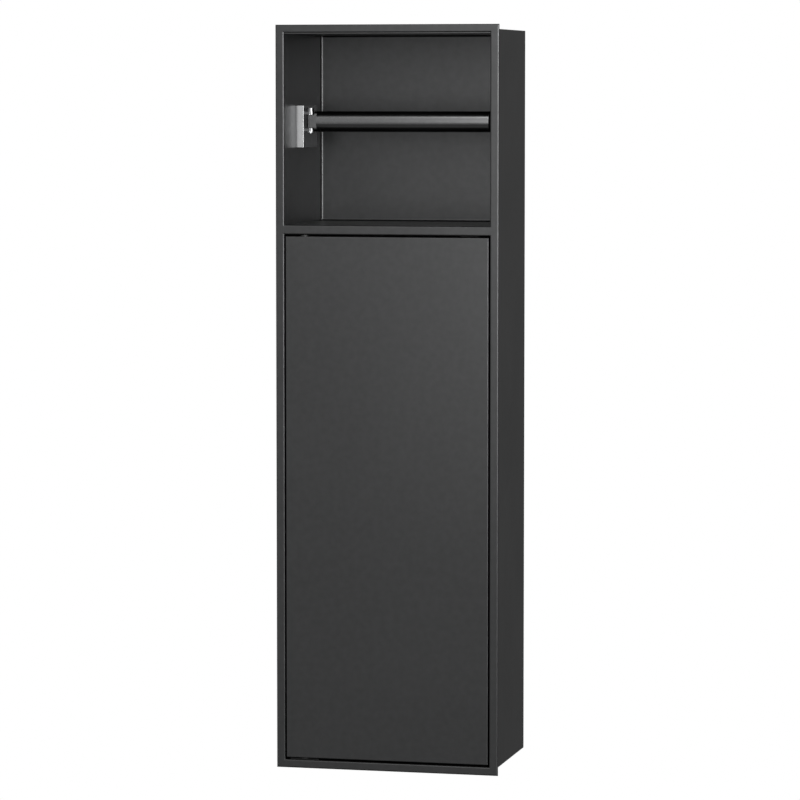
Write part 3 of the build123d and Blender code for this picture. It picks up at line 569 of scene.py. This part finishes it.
@dataclass
class Studio:
    """The camera, the lamps and the plain white room round the cabinet.

    The camera sees a white room. What shines sees the room's soft light, which is strongest high in front of
    the cabinet and weakest below, overhead and behind it. Everything else gets a plain, even light. The
    ranges run along the upward or the backward part of a direction, from -1 to 1.
    """

    camera_place: Point = (0.8154, -3.4398, 0.3564)
    camera_yaw: float = 13.64
    camera_pitch: float = 4.50
    lens: float = 176.1
    sensor: float = 36.0
    even_light: float = 0.5
    low_light: float = 0.16
    level_light: float = 0.57
    high_light: float = 0.65
    behind_light: float = 0.3
    zenith_share: float = 0.25
    low_end: float = -0.75
    high_start: float = 0.65
    zenith_range: Range = (0.74, 0.86)
    behind_range: Range = (-0.3, 0.5)
    floor_albedo: float = 0.2
    floor_roughness: float = 0.9
    floor_glow: float = 1.04
    floor_glow_share: float = 0.96
    floor_height: float = -2.0
    floor_size: float = 9.0
    lamps: tuple[SoftBox, ...] = (
        SoftBox("softbox_front", (0.2, -1.4, 0.82), (0.2, 0.0, 0.82), 0.8, 1.6, 6.5),
        SoftBox("softbox_top", (0.1, -1.1, 1.5), (0.1, 0.05, 0.56), 0.8, 0.45, 2.2),
        SoftBox("softbox_right", (1.35, -1.45, 0.75), (0.0, -0.1, 0.2), 1.0, 1.4, 46.0),
    )

    def build(self) -> None:
        """Sets the camera, the room and the lamps."""
        bpy.context.scene.view_settings.view_transform = "Standard"
        self.place_camera()
        self.light_room()
        self.lay_floor()
        for lamp in self.lamps:
            lamp.hang()

    def place_camera(self) -> None:
        """Puts the camera where the photograph was taken from."""
        camera = bpy.data.cameras.new("camera")
        camera.lens = self.lens
        camera.sensor_width = self.sensor
        obj = bpy.data.objects.new("camera", camera)
        obj.location = self.camera_place
        obj.rotation_euler = (math.radians(90 - self.camera_pitch), 0.0, math.radians(self.camera_yaw))
        bpy.context.scene.collection.objects.link(obj)
        bpy.context.scene.camera = obj

    def soft_light(self, nodes: Nodes) -> bpy.types.NodeSocket:
        """Works out the room's strength in each direction for what shines.

        Args:
            nodes: The world's nodes.

        Returns:
            The strength, from dim below and behind to bright high in front.
        """
        direction = nodes.add("ShaderNodeTexCoord").outputs["Generated"]
        _, back, up = nodes.add("ShaderNodeSeparateXYZ", {0: direction}).outputs
        rising = nodes.spread(up, self.low_end, 0.0, self.low_light, self.level_light)
        growing = nodes.spread(up, 0.0, self.high_start, 0.0, self.high_light - self.level_light)
        overhead = nodes.spread(up, *self.zenith_range, 1.0, self.zenith_share)
        height = nodes.math("MULTIPLY", nodes.math("ADD", rising, growing), overhead)
        front = nodes.spread(back, *self.behind_range, 1.0, self.behind_light)
        return nodes.math("MULTIPLY", height, front)

    def light_room(self) -> None:
        """Makes the room white to the camera and through glass, soft to what shines and even to the rest."""
        world = bpy.data.worlds.new("room")
        bpy.context.scene.world = world
        world.use_nodes = True
        nodes = Nodes(world.node_tree)
        background = world.node_tree.nodes["Background"]
        background.inputs["Color"].default_value = (1.0, 1.0, 1.0, 1.0)
        path = nodes.add("ShaderNodeLightPath")
        seen = nodes.math("MAXIMUM", path.outputs["Is Camera Ray"], path.outputs["Is Transmission Ray"])
        shine = nodes.add("ShaderNodeMix", {0: path.outputs["Is Glossy Ray"], 2: self.even_light})
        nodes.put(shine.inputs[3], self.soft_light(nodes))
        strength = nodes.add("ShaderNodeMix", {0: seen, 2: shine.outputs[0], 3: 1.0})
        nodes.put(background.inputs["Strength"], strength.outputs[0])

    def lay_floor(self) -> None:
        """Lays a plain pale floor well below the cabinet, as below a cabinet on a wall."""
        mesh = bpy.data.meshes.new("floor")
        half = self.floor_size / 2
        outline = ((-half, -half), (half, -half), (half, half), (-half, half))
        mesh.from_pydata([(x, y, self.floor_height) for x, y in outline], [], [(0, 1, 2, 3)])
        floor = bpy.data.objects.new("floor", mesh)
        bpy.context.scene.collection.objects.link(floor)
        material = bpy.data.materials.new("pale_floor")
        material.use_nodes = True
        nodes = Nodes(material.node_tree)
        shader = material.node_tree.nodes["Principled BSDF"]
        shader.inputs["Base Color"].default_value = (*grey(self.floor_albedo), 1.0)
        shader.inputs["Roughness"].default_value = self.floor_roughness
        white = (1.0, 1.0, 1.0, 1.0)
        glow = nodes.add("ShaderNodeEmission", {"Color": white, "Strength": self.floor_glow})
        path = nodes.add("ShaderNodeLightPath")
        seen = nodes.math("MAXIMUM", path.outputs["Is Camera Ray"], path.outputs["Is Transmission Ray"])
        share = nodes.math("MULTIPLY", seen, self.floor_glow_share)
        mix = nodes.add("ShaderNodeMixShader", {0: share, 1: shader.outputs[0], 2: glow.outputs[0]})
        nodes.put(material.node_tree.nodes["Material Output"].inputs["Surface"], mix.outputs[0])
        mesh.materials.append(material)


HEAD_SIDES = 40
HEAD_RINGS = 8
HEAD_CURVE = 3.0
SHANK_SIDES = 24
CROSS_LENGTH = 1.1
CROSS_WIDTH = 0.24
CROSS_DEPTH = 1.2


@dataclass(frozen=True)
class Spot:
    """Where one fastener or pad sits, and the way its head looks."""

    place: Vector
    facing: Vector


def head_tree(name: str, roundness: float, recess: bool) -> bpy.types.NodeTree:
    """Builds the tree that sets one headed fastener on each point of a mesh.

    The head stands on the point and looks along the point's facing, and the shank goes the other way.

    Args:
        name: The tree's name.
        roundness: How much the head narrows towards its top, from 0 to 1.
        recess: Whether the head has a cross recess.

    Returns:
        The tree, with its sizes and material as inputs.
    """
    sizes = {
        "Geometry": ("NodeSocketGeometry", None),
        "Head Radius": ("NodeSocketFloat", 0.003),
        "Head Height": ("NodeSocketFloat", 0.001),
        "Shank Radius": ("NodeSocketFloat", 0.0015),
        "Shank Length": ("NodeSocketFloat", 0.003),
        "Material": ("NodeSocketMaterial", None),
    }
    nodes = new_group(name, "GeometryNodeTree", sizes, {"Geometry": "NodeSocketGeometry"})
    given = nodes.tree.nodes["Group Input"].outputs
    head = nodes.add(
        "GeometryNodeMeshCylinder",
        {
            "Vertices": HEAD_SIDES,
            "Side Segments": HEAD_RINGS,
            "Radius": given["Head Radius"],
            "Depth": given["Head Height"],
        },
        fill_type="NGON",
    ).outputs["Mesh"]
    place = nodes.add("GeometryNodeInputPosition").outputs[0]
    across, along, up = nodes.add("ShaderNodeSeparateXYZ", {0: place}).outputs
    height = nodes.math("ADD", nodes.math("DIVIDE", up, given["Head Height"]), 0.5)
    narrowing = nodes.math("MULTIPLY", nodes.math("POWER", height, HEAD_CURVE), roundness)
    width = nodes.math("SUBTRACT", 1.0, narrowing)
    lift = nodes.math("MULTIPLY", height, given["Head Height"])
    turned = nodes.add(
        "ShaderNodeCombineXYZ",
        {0: nodes.math("MULTIPLY", across, width), 1: nodes.math("MULTIPLY", along, width), 2: lift},
    ).outputs[0]
    head = nodes.add("GeometryNodeSetPosition", {"Geometry": head, "Position": turned}).outputs[0]
    if recess:
        head = cut_cross(nodes, head, given)
    shank = nodes.add(
        "GeometryNodeMeshCylinder",
        {"Vertices": SHANK_SIDES, "Radius": given["Shank Radius"], "Depth": given["Shank Length"]},
        fill_type="NGON",
    ).outputs["Mesh"]
    down = nodes.math("MULTIPLY", given["Shank Length"], -0.5)
    drop = nodes.add("ShaderNodeCombineXYZ", {2: down}).outputs[0]
    shank = nodes.add("GeometryNodeTransform", {"Geometry": shank, "Translation": drop}).outputs[0]
    whole = nodes.add("GeometryNodeJoinGeometry")
    nodes.put(whole.inputs[0], head)
    nodes.put(whole.inputs[0], shank)
    facing = nodes.add("GeometryNodeInputNamedAttribute", {"Name": "facing"}, data_type="FLOAT_VECTOR")
    turn = nodes.add("FunctionNodeAlignRotationToVector", {"Vector": facing.outputs[0]}, axis="Z")
    points = nodes.add("GeometryNodeMeshToPoints", {"Mesh": given["Geometry"]}).outputs[0]
    placed = nodes.add(
        "GeometryNodeInstanceOnPoints",
        {"Points": points, "Instance": whole.outputs[0], "Rotation": turn.outputs[0]},
    ).outputs[0]
    close_tree(nodes, placed)
    return nodes.tree


def cut_cross(nodes: Nodes, head: bpy.types.NodeSocket, given: object) -> bpy.types.NodeSocket:
    """Cuts a cross recess into a head's top.

    Args:
        nodes: The tree's nodes.
        head: The head, standing on its own origin.
        given: The tree's inputs by name.

    Returns:
        The head with its recess.
    """
    cut = nodes.add("GeometryNodeMeshBoolean", {"Mesh 1": head}, operation="DIFFERENCE")
    long_side = nodes.math("MULTIPLY", given["Head Radius"], CROSS_LENGTH)
    short_side = nodes.math("MULTIPLY", given["Head Radius"], CROSS_WIDTH)
    depth = nodes.math("MULTIPLY", given["Head Height"], CROSS_DEPTH)
    rise = nodes.add("ShaderNodeCombineXYZ", {2: given["Head Height"]}).outputs[0]
    for sides in ((long_side, short_side), (short_side, long_side)):
        size = nodes.add("ShaderNodeCombineXYZ", {0: sides[0], 1: sides[1], 2: depth}).outputs[0]
        bar = nodes.add("GeometryNodeMeshCube", {"Size": size}).outputs["Mesh"]
        bar = nodes.add("GeometryNodeTransform", {"Geometry": bar, "Translation": rise}).outputs[0]
        nodes.put(cut.inputs["Mesh 2"], bar)
    return cut.outputs["Mesh"]


def bristle_tree() -> bpy.types.NodeTree:
    """Builds the tree that sets bristles all over a core, spread a little at both ends.

    Returns:
        The tree, with its sizes, its seed and its material as inputs.
    """
    sizes = {
        "Geometry": ("NodeSocketGeometry", None),
        "Density": ("NodeSocketFloat", 1500000.0),
        "Length": ("NodeSocketFloat", 0.024),
        "Radius": ("NodeSocketFloat", 0.0003),
        "Middle": ("NodeSocketFloat", 0.0),
        "Half Height": ("NodeSocketFloat", 0.03),
        "Spread": ("NodeSocketFloat", 0.3),
        "Rounding": ("NodeSocketFloat", 0.26),
        "Shortest": ("NodeSocketFloat", 0.93),
        "Seed": ("NodeSocketInt", 4),
        "Material": ("NodeSocketMaterial", None),
    }
    nodes = new_group("bristles", "GeometryNodeTree", sizes, {"Geometry": "NodeSocketGeometry"})
    given = nodes.tree.nodes["Group Input"].outputs
    roots = nodes.add(
        "GeometryNodeDistributePointsOnFaces",
        {"Mesh": given["Geometry"], "Density": given["Density"], "Seed": given["Seed"]},
    )
    place = nodes.add("GeometryNodeInputPosition").outputs[0]
    height = nodes.add("ShaderNodeSeparateXYZ", {0: place}).outputs[2]
    level = nodes.math("DIVIDE", nodes.math("SUBTRACT", height, given["Middle"]), given["Half Height"])
    tilt = nodes.math("MULTIPLY", nodes.math("POWER", level, 3.0), given["Spread"])
    lean = nodes.add("ShaderNodeCombineXYZ", {2: tilt}).outputs[0]
    way = nodes.vector("ADD", roots.outputs["Normal"], lean)
    turn = nodes.add("FunctionNodeAlignRotationToVector", {"Vector": way}, axis="Z").outputs[0]
    chance = nodes.add(
        "FunctionNodeRandomValue",
        {"Min": given["Shortest"], "Max": 1.0, "Seed": given["Seed"]},
        data_type="FLOAT",
    )
    random_length = next(socket for socket in chance.outputs if socket.type == "VALUE" and socket.enabled)
    ends = nodes.math("POWER", nodes.math("ABSOLUTE", level), 6.0)
    shorter = nodes.math("SUBTRACT", 1.0, nodes.math("MULTIPLY", ends, given["Rounding"]))
    reach = nodes.math("MULTIPLY", nodes.math("MULTIPLY", given["Length"], shorter), random_length)
    bristle = nodes.add(
        "GeometryNodeMeshCylinder",
        {"Vertices": 3, "Radius": given["Radius"], "Depth": 1.0},
        fill_type="NGON",
    ).outputs["Mesh"]
    bristle = nodes.add(
        "GeometryNodeTransform", {"Geometry": bristle, "Translation": (0.0, 0.0, 0.5)}
    ).outputs[0]
    scale = nodes.add("ShaderNodeCombineXYZ", {0: 1.0, 1: 1.0, 2: reach}).outputs[0]
    placed = nodes.add(
        "GeometryNodeInstanceOnPoints",
        {"Points": roots.outputs["Points"], "Instance": bristle, "Rotation": turn, "Scale": scale},
    ).outputs[0]
    close_tree(nodes, placed)
    return nodes.tree


def close_tree(nodes: Nodes, placed: bpy.types.NodeSocket) -> None:
    """Turns a tree's instances into a mesh, gives it its material and puts it out.

    Args:
        nodes: The tree's nodes.
        placed: The instances.
    """
    given = nodes.tree.nodes["Group Input"].outputs
    solid = nodes.add("GeometryNodeRealizeInstances", {"Geometry": placed}).outputs[0]
    dressed = nodes.add("GeometryNodeSetMaterial", {"Geometry": solid, "Material": given["Material"]})
    nodes.put(nodes.tree.nodes["Group Output"].inputs["Geometry"], dressed.outputs[0])


def grow(name: str, host: bpy.types.Mesh, tree: bpy.types.NodeTree, values: dict) -> bpy.types.Object:
    """Runs a geometry tree on a host mesh and keeps the result as a plain mesh.

    Args:
        name: The new piece's name.
        host: The mesh that the tree works on.
        tree: The geometry tree.
        values: The tree's input values by input name.

    Returns:
        The finished object, which sits at the origin.
    """
    source = bpy.data.objects.new(name + "_source", host)
    bpy.context.scene.collection.objects.link(source)
    modifier = source.modifiers.new("grow", "NODES")
    modifier.node_group = tree
    sockets = {item.name: item.identifier for item in tree.interface.items_tree if item.in_out == "INPUT"}
    for label, value in values.items():
        modifier[sockets[label]] = value
    bpy.context.view_layer.update()
    evaluated = source.evaluated_get(bpy.context.evaluated_depsgraph_get())
    mesh = bpy.data.meshes.new_from_object(evaluated)
    mesh.name = name
    source.modifiers.clear()
    bpy.data.objects.remove(source)
    obj = bpy.data.objects.new(name, mesh)
    bpy.context.scene.collection.objects.link(obj)
    return obj


def spots_mesh(name: str, spots: list[Spot]) -> bpy.types.Mesh:
    """Makes a mesh of loose points, each with its facing.

    Args:
        name: The name of the piece that the points are for.
        spots: The points.

    Returns:
        The mesh, with the facings as an attribute.
    """
    mesh = bpy.data.meshes.new(name + "_spots")
    mesh.from_pydata([tuple(spot.place) for spot in spots], [], [])
    facing = mesh.attributes.new("facing", "FLOAT_VECTOR", "POINT")
    for item, spot in zip(facing.data, spots):
        item.vector = spot.facing
    return mesh


@dataclass
class SubAssembly:
    """A group of the cabinet's pieces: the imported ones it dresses, and the detailed ones it adds.

    Attributes:
        pieces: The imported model's objects by name.
        finishes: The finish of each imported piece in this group.
        made: The names of the pieces that are done, for the log.
    """

    pieces: dict[str, bpy.types.Object]
    finishes: dict[str, Finish] = field(default_factory=dict)
    made: list[str] = field(default_factory=list)

    def build(self) -> None:
        """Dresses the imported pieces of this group."""
        for name, finish in self.finishes.items():
            finish.dress(self.pieces[name])
            self.made.append(name)

    def place(self, obj: bpy.types.Object, body: str, slot: str, replaced: str) -> None:
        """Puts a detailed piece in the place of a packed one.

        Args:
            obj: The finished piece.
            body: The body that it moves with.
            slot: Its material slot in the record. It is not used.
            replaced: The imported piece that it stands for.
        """
        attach(obj, body)
        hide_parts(replaced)
        self.made.append(obj.name)

    def heads(
        self, node: str, spots: list[Spot], tree: bpy.types.NodeTree, sizes: dict, finish: Finish
    ) -> bpy.types.Object:
        """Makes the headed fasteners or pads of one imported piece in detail.

        Args:
            node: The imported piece.
            spots: Where each of them sits.
            tree: The geometry tree of their shape.
            sizes: The tree's sizes by input name, in metres.
            finish: Their finish.

        Returns:
            The finished object.
        """
        name = node + "_detail"
        material = finish.material(name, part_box(node))
        return grow(name, spots_mesh(name, spots), tree, {**sizes, "Material": material})


@dataclass
class Carcass(SubAssembly):
    """The front frame, the outer box, the linings of both compartments and what joins them."""

    head_radius: float = 3.8 * MM
    head_height: float = 1.6 * MM
    head_roundness: float = 0.35
    shank_radius: float = 2.0 * MM
    screw_reach: float = 3.6 * MM
    sheet: float = 1.0 * MM

    def build(self) -> None:
        """Dresses the sheets and makes the four tray screws."""
        super().build()
        low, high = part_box("tray_screws")
        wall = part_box("lower_tray_sides")[1].x - self.sheet
        y = (low.y + high.y) / 2
        heights = (low.z + self.head_radius, high.z - self.head_radius)
        places = [(side, z) for side in (-1, 1) for z in heights]
        spots = [Spot(Vector((side * wall, y, z)), Vector((-side, 0, 0))) for side, z in places]
        sizes = {
            "Head Radius": self.head_radius,
            "Head Height": self.head_height,
            "Shank Radius": self.shank_radius,
            "Shank Length": self.screw_reach,
        }
        tree = head_tree("pan_head_screw", self.head_roundness, True)
        obj = self.heads("tray_screws", spots, tree, sizes, GRAPHITE)
        self.place(obj, "cabinet", "graphite_outside", "tray_screws")


@dataclass
class Door(SubAssembly):
    """The flush door with its lining, its bushes and the strike plate of the latch."""

    head_radius: float = 2.2 * MM
    head_height: float = 0.9 * MM
    head_roundness: float = 0.3
    shank_radius: float = 1.2 * MM
    screw_reach: float = 4.0 * MM

    def build(self) -> None:
        """Dresses the door and makes the strike plate's two screws."""
        super().build()
        low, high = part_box("strike_screws")
        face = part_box("strike_plate")[1].y
        z = (low.z + high.z) / 2
        ends = (low.x + self.head_radius, high.x - self.head_radius)
        spots = [Spot(Vector((x, face, z)), Vector((0, 1, 0))) for x in ends]
        sizes = {
            "Head Radius": self.head_radius,
            "Head Height": self.head_height,
            "Shank Radius": self.shank_radius,
            "Shank Length": self.screw_reach,
        }
        tree = head_tree("strike_screw", self.head_roundness, True)
        obj = self.heads("strike_screws", spots, tree, sizes, ZINC)
        self.place(obj, "door", "steel_hardware", "strike_screws")


@dataclass
class Pivots(SubAssembly):
    """The door's pivot plates and pins, and their domed rivets."""

    head_radius: float = 2.6 * MM
    head_height: float = 0.9 * MM
    head_roundness: float = 0.6
    shank_radius: float = 1.5 * MM
    sheet: float = 1.0 * MM

    def build(self) -> None:
        """Dresses the plates and pins and makes the rivets."""
        super().build()
        low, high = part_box("pivot_rivets")
        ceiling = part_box("upper_pivot_plate")[0].z - self.sheet
        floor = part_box("lower_pivot_plate")[1].z
        y = (low.y + high.y) / 2
        ends = (low.x + self.head_radius, high.x - self.head_radius)
        spots = [Spot(Vector((x, y, ceiling)), Vector((0, 0, -1))) for x in ends]
        spots += [Spot(Vector((x, y, floor)), Vector((0, 0, 1))) for x in ends]
        sizes = {
            "Head Radius": self.head_radius,
            "Head Height": self.head_height,
            "Shank Radius": self.shank_radius,
            "Shank Length": floor - low.z,
        }
        tree = head_tree("domed_rivet", self.head_roundness, False)
        obj = self.heads("pivot_rivets", spots, tree, sizes, BLACKENED)
        self.place(obj, "cabinet", "black_hardware", "pivot_rivets")


@dataclass
class Latch(SubAssembly):
    """The touch latch, and the stops that the door's free edge closes on."""

    pad_roundness: float = 0.4
    stem_share: float = 0.4
    stem_length: float = 1.0 * MM

    def build(self) -> None:
        """Dresses the latch and the stops and makes the two domed rubber pads."""
        super().build()
        low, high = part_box("door_bumpers")
        radius = (high.x - low.x) / 2
        x = (low.x + high.x) / 2
        heights = (low.z + radius, high.z - radius)
        spots = [Spot(Vector((x, high.y, z)), Vector((0, -1, 0))) for z in heights]
        sizes = {
            "Head Radius": radius,
            "Head Height": high.y - low.y,
            "Shank Radius": radius * self.stem_share,
            "Shank Length": self.stem_length,
        }
        tree = head_tree("domed_pad", self.pad_roundness, False)
        obj = self.heads("door_bumpers", spots, tree, sizes, RUBBER)
        self.place(obj, "cabinet", "bumper_rubber", "door_bumpers")


@dataclass
class RollHolder(SubAssembly):
    """The bracket on the niche's left wall and the bar that swings on its vertical pin."""

    front_turns: Range = (4.0, 21.0)
    front_corner: float = 0.8 * MM
    edge_bevel: float = 0.5 * MM
    arc_steps: int = 14
    ear_width: float = 8.0 * MM
    ear_height: float = 18.0 * MM
    slot_height: float = 12.0 * MM
    pin_head: float = 0.5 * MM
    pin_gap: float = 1.0 * MM

    def build(self) -> None:
        """Dresses the bar and makes the bracket with its rounded front."""
        super().build()
        obj = self.bracket()
        GRAPHITE_BAR.dress(obj)
        self.place(obj, "cabinet", "graphite_bar", "bracket_body")

    def bracket(self) -> bpy.types.Object:
        """Builds the cast bracket: a plate with a slightly convex front, and the two ears of the hinge.

        Returns:
            The bracket as one object at the origin.
        """
        low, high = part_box("bracket_body")
        wall, back = low.x, high.y
        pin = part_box("swing_pin")
        pin_x, pin_y = (pin[0].x + pin[1].x) / 2, (pin[0].y + pin[1].y) / 2
        face = pin[0].x - self.pin_gap
        mesh = bmesh.new()
        self.plate(mesh, (wall, face), (low.y, back), (low.z, high.z))
        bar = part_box("bar_tube")
        middle = (bar[0].z + bar[1].z) / 2
        outer, inner = self.ear_height / 2, self.slot_height / 2
        reach = (face - self.edge_bevel, pin_x)
        self.ear(mesh, reach, pin_y, (middle + inner, middle + outer - self.pin_head))
        self.ear(mesh, reach, pin_y, (middle - outer, middle - inner))
        bmesh.ops.recalc_face_normals(mesh, faces=mesh.faces)
        data = bpy.data.meshes.new("bracket_detail")
        mesh.to_mesh(data)
        mesh.free()
        obj = bpy.data.objects.new("bracket_detail", data)
        bpy.context.scene.collection.objects.link(obj)
        return obj

    def plate(self, mesh: bmesh.types.BMesh, x: Range, y: Range, z: Range) -> None:
        """Adds the bracket's plate to a mesh. Its front is slightly convex, with a rounded outer corner.

        Args:
            mesh: The mesh that is added to.
            x: From the wall to the plate's face.
            y: From the plate's front to its back.
            z: From the plate's lower to its upper end.
        """
        first, last = (math.radians(turn) for turn in self.front_turns)
        corner = self.front_corner
        wide = x[1] - x[0] - corner * (1 - math.sin(last))
        r = wide / (math.sin(last) - math.sin(first))
        steps = range(self.arc_steps + 1)
        turns = [first + (last - first) * step / self.arc_steps for step in steps]
        outline = [
            (x[0] + r * (math.sin(turn) - math.sin(first)), y[0] + r * (math.cos(first) - math.cos(turn)))
            for turn in turns
        ]
        centre = (x[1] - corner, outline[-1][1] + corner * math.cos(last))
        turns = [last + (math.pi / 2 - last) * step / self.arc_steps for step in steps[1:]]
        outline += [(centre[0] + corner * math.sin(t), centre[1] - corner * math.cos(t)) for t in turns]
        self.prism(mesh, [*outline, (x[1], y[1]), (x[0], y[1])], z, self.edge_bevel)

    def ear(self, mesh: bmesh.types.BMesh, x: Range, y: float, z: Range) -> None:
        """Adds one ear, round about the pin, to a mesh.

        Args:
            mesh: The mesh that is added to.
            x: From inside the plate to the pin's middle.
            y: The pin's middle.
            z: From the ear's lower to its upper side.
        """
        r = self.ear_width / 2
        turns = [math.radians(-90 + 180 * step / self.arc_steps) for step in range(self.arc_steps + 1)]
        arc = [(x[1] + r * math.cos(turn), y + r * math.sin(turn)) for turn in turns]
        self.prism(mesh, [(x[0], y - r), *arc, (x[0], y + r)], z, self.edge_bevel)

    def prism(
        self, mesh: bmesh.types.BMesh, outline: list[tuple[float, float]], z: Range, bevel: float
    ) -> None:
        """Adds an upright prism with bevelled ends to a mesh.

        Args:
            mesh: The mesh that is added to.
            outline: The prism's corners seen from above, in order.
            z: Its lower and upper ends.
            bevel: The width of the bevels.
        """
        bottom = [mesh.verts.new((px, py, z[0])) for px, py in outline]
        top = [mesh.verts.new((px, py, z[1])) for px, py in outline]
        count = len(outline)
        ends = [mesh.faces.new(list(reversed(bottom))), mesh.faces.new(top)]
        for index in range(count):
            after = (index + 1) % count
            mesh.faces.new((bottom[index], bottom[after], top[after], top[index]))
        edges = list(dict.fromkeys(edge for face in ends for edge in face.edges))
        bmesh.ops.bevel(mesh, geom=edges, offset=bevel, segments=3, affect="EDGES", clamp_overlap=True)


@dataclass
class BrushSet(SubAssembly):
    """The holder on the back wall, the cup and the toilet brush."""

    bristle_radius: float = 0.28 * MM
    bristles_per_square_metre: float = 1500000.0
    bristle_spread: float = 0.26
    end_rounding: float = 0.2
    root_depth: float = 0.5 * MM
    bare_end: float = 7.0 * MM
    host_sides: int = 48
    seed: int = 7
    screw_radius: float = 2.0 * MM
    screw_roundness: float = 0.35

    def build(self) -> None:
        """Dresses the holder and the brush and makes the bristles and the holder's screws."""
        super().build()
        self.add_screws()
        self.add_bristles()

    def add_screws(self) -> None:
        """Makes the two screws of the holder's plate."""
        low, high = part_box("brush_bracket_screws")
        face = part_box("brush_bracket_plate")[0].y
        radius = (high.x - low.x) / 2
        heights = (low.z + radius, high.z - radius)
        spots = [Spot(Vector((0, face, z)), Vector((0, -1, 0))) for z in heights]
        sizes = {
            "Head Radius": radius,
            "Head Height": face - low.y,
            "Shank Radius": self.screw_radius,
            "Shank Length": high.y - face,
        }
        tree = head_tree("holder_screw", self.screw_roundness, True)
        obj = self.heads("brush_bracket_screws", spots, tree, sizes, ZINC)
        self.place(obj, "cabinet", "steel_hardware", "brush_bracket_screws")

    def add_bristles(self) -> None:
        """Makes the bristles, which stand out from the core all round."""
        low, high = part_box("brush_tuft")
        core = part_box("brush_core")
        radius = (core[1].x - core[0].x) / 2 - self.root_depth
        x, y = (low.x + high.x) / 2, (low.y + high.y) / 2
        rise = self.bare_end
        host = bmesh.new()
        rings = []
        for z in (low.z + rise, high.z - rise):
            turns = [2 * math.pi * step / self.host_sides for step in range(self.host_sides)]
            ring = [(x + radius * math.cos(turn), y + radius * math.sin(turn), z) for turn in turns]
            rings.append([host.verts.new(corner) for corner in ring])
        for index in range(self.host_sides):
            after = (index + 1) % self.host_sides
            host.faces.new((rings[0][index], rings[0][after], rings[1][after], rings[1][index]))
        mesh = bpy.data.meshes.new("bristle_roots")
        host.to_mesh(mesh)
        host.free()
        material = BRISTLE_NYLON.material("brush_bristles", (low, high))
        values = {
            "Density": self.bristles_per_square_metre,
            "Length": (high.x - low.x) / 2 - radius,
            "Radius": self.bristle_radius,
            "Middle": (low.z + high.z) / 2,
            "Half Height": (high.z - low.z) / 2 - rise,
            "Spread": self.bristle_spread,
            "Rounding": self.end_rounding,
            "Seed": self.seed,
            "Material": material,
        }
        obj = grow("brush_bristles", mesh, bristle_tree(), values)
        self.place(obj, "brush", "bristles", "brush_tuft")


def sub_assemblies(pieces: dict[str, bpy.types.Object]) -> list[SubAssembly]:
    """Lists the cabinet's sub-assemblies in building order.

    Args:
        pieces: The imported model's objects by name.

    Returns:
        The sub-assemblies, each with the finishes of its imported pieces.
    """
    graphite = ("front_frame", "box_left", "box_right", "box_bottom", "box_top", "box_back")
    linings = ("niche_tray", "lower_tray", "lower_tray_sides")
    plates = ("upper_pivot_plate", "lower_pivot_plate", "upper_pivot_pin", "lower_pivot_pin")
    steel = ("bracket_base", "bracket_screws", "bracket_nuts", "bracket_grub_screw", "swing_clip")
    holder = ("brush_bracket_plate", "cup_ring", "brush_cup")
    brush = ("brush_lid", "brush_rod", "brush_grip", "grip_cap")
    return [
        Carcass(pieces, {**dict.fromkeys(graphite + linings, GRAPHITE), "tray_spacers": ZINC}),
        Door(pieces, {
            **dict.fromkeys(("door_panel", "door_lining"), GRAPHITE),
            **dict.fromkeys(("door_stiffener", "strike_plate"), ZINC),
            **dict.fromkeys(("upper_bush", "lower_bush"), BLACK_PLASTIC),
        }),
        Pivots(pieces, {**dict.fromkeys(plates, BLACKENED), "thrust_washer": BLACK_PLASTIC}),
        Latch(pieces, {
            **dict.fromkeys(("latch_housing", "latch_plunger"), BLACK_PLASTIC),
            **dict.fromkeys(("latch_spring", "latch_screws", "stop_brackets"), ZINC),
            "latch_magnet": MAGNET,
        }),
        RollHolder(pieces, {
            **dict.fromkeys(steel, ZINC),
            **dict.fromkeys(("swing_pin", "bar_knuckle", "bar_tube", "bar_cap"), GRAPHITE_BAR),
            "swing_washers": BLACK_PLASTIC,
        }),
        BrushSet(pieces, {
            **dict.fromkeys(holder + brush, BRUSHED),
            "cup_liner": LINER_PLASTIC,
            "brush_core": BLACK_PLASTIC,
        }),
    ]


def main() -> None:
    """Builds the cabinet's looks in order and reports each sub-assembly."""
    logging.basicConfig(level=logging.INFO, format="%(name)s: %(message)s")
    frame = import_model()
    Studio().build()
    for group in sub_assemblies(frame["nodes"]):
        group.build()
        LOG.info("%s: %s", type(group).__name__, ", ".join(group.made))


if __name__ == "__main__":
    main()
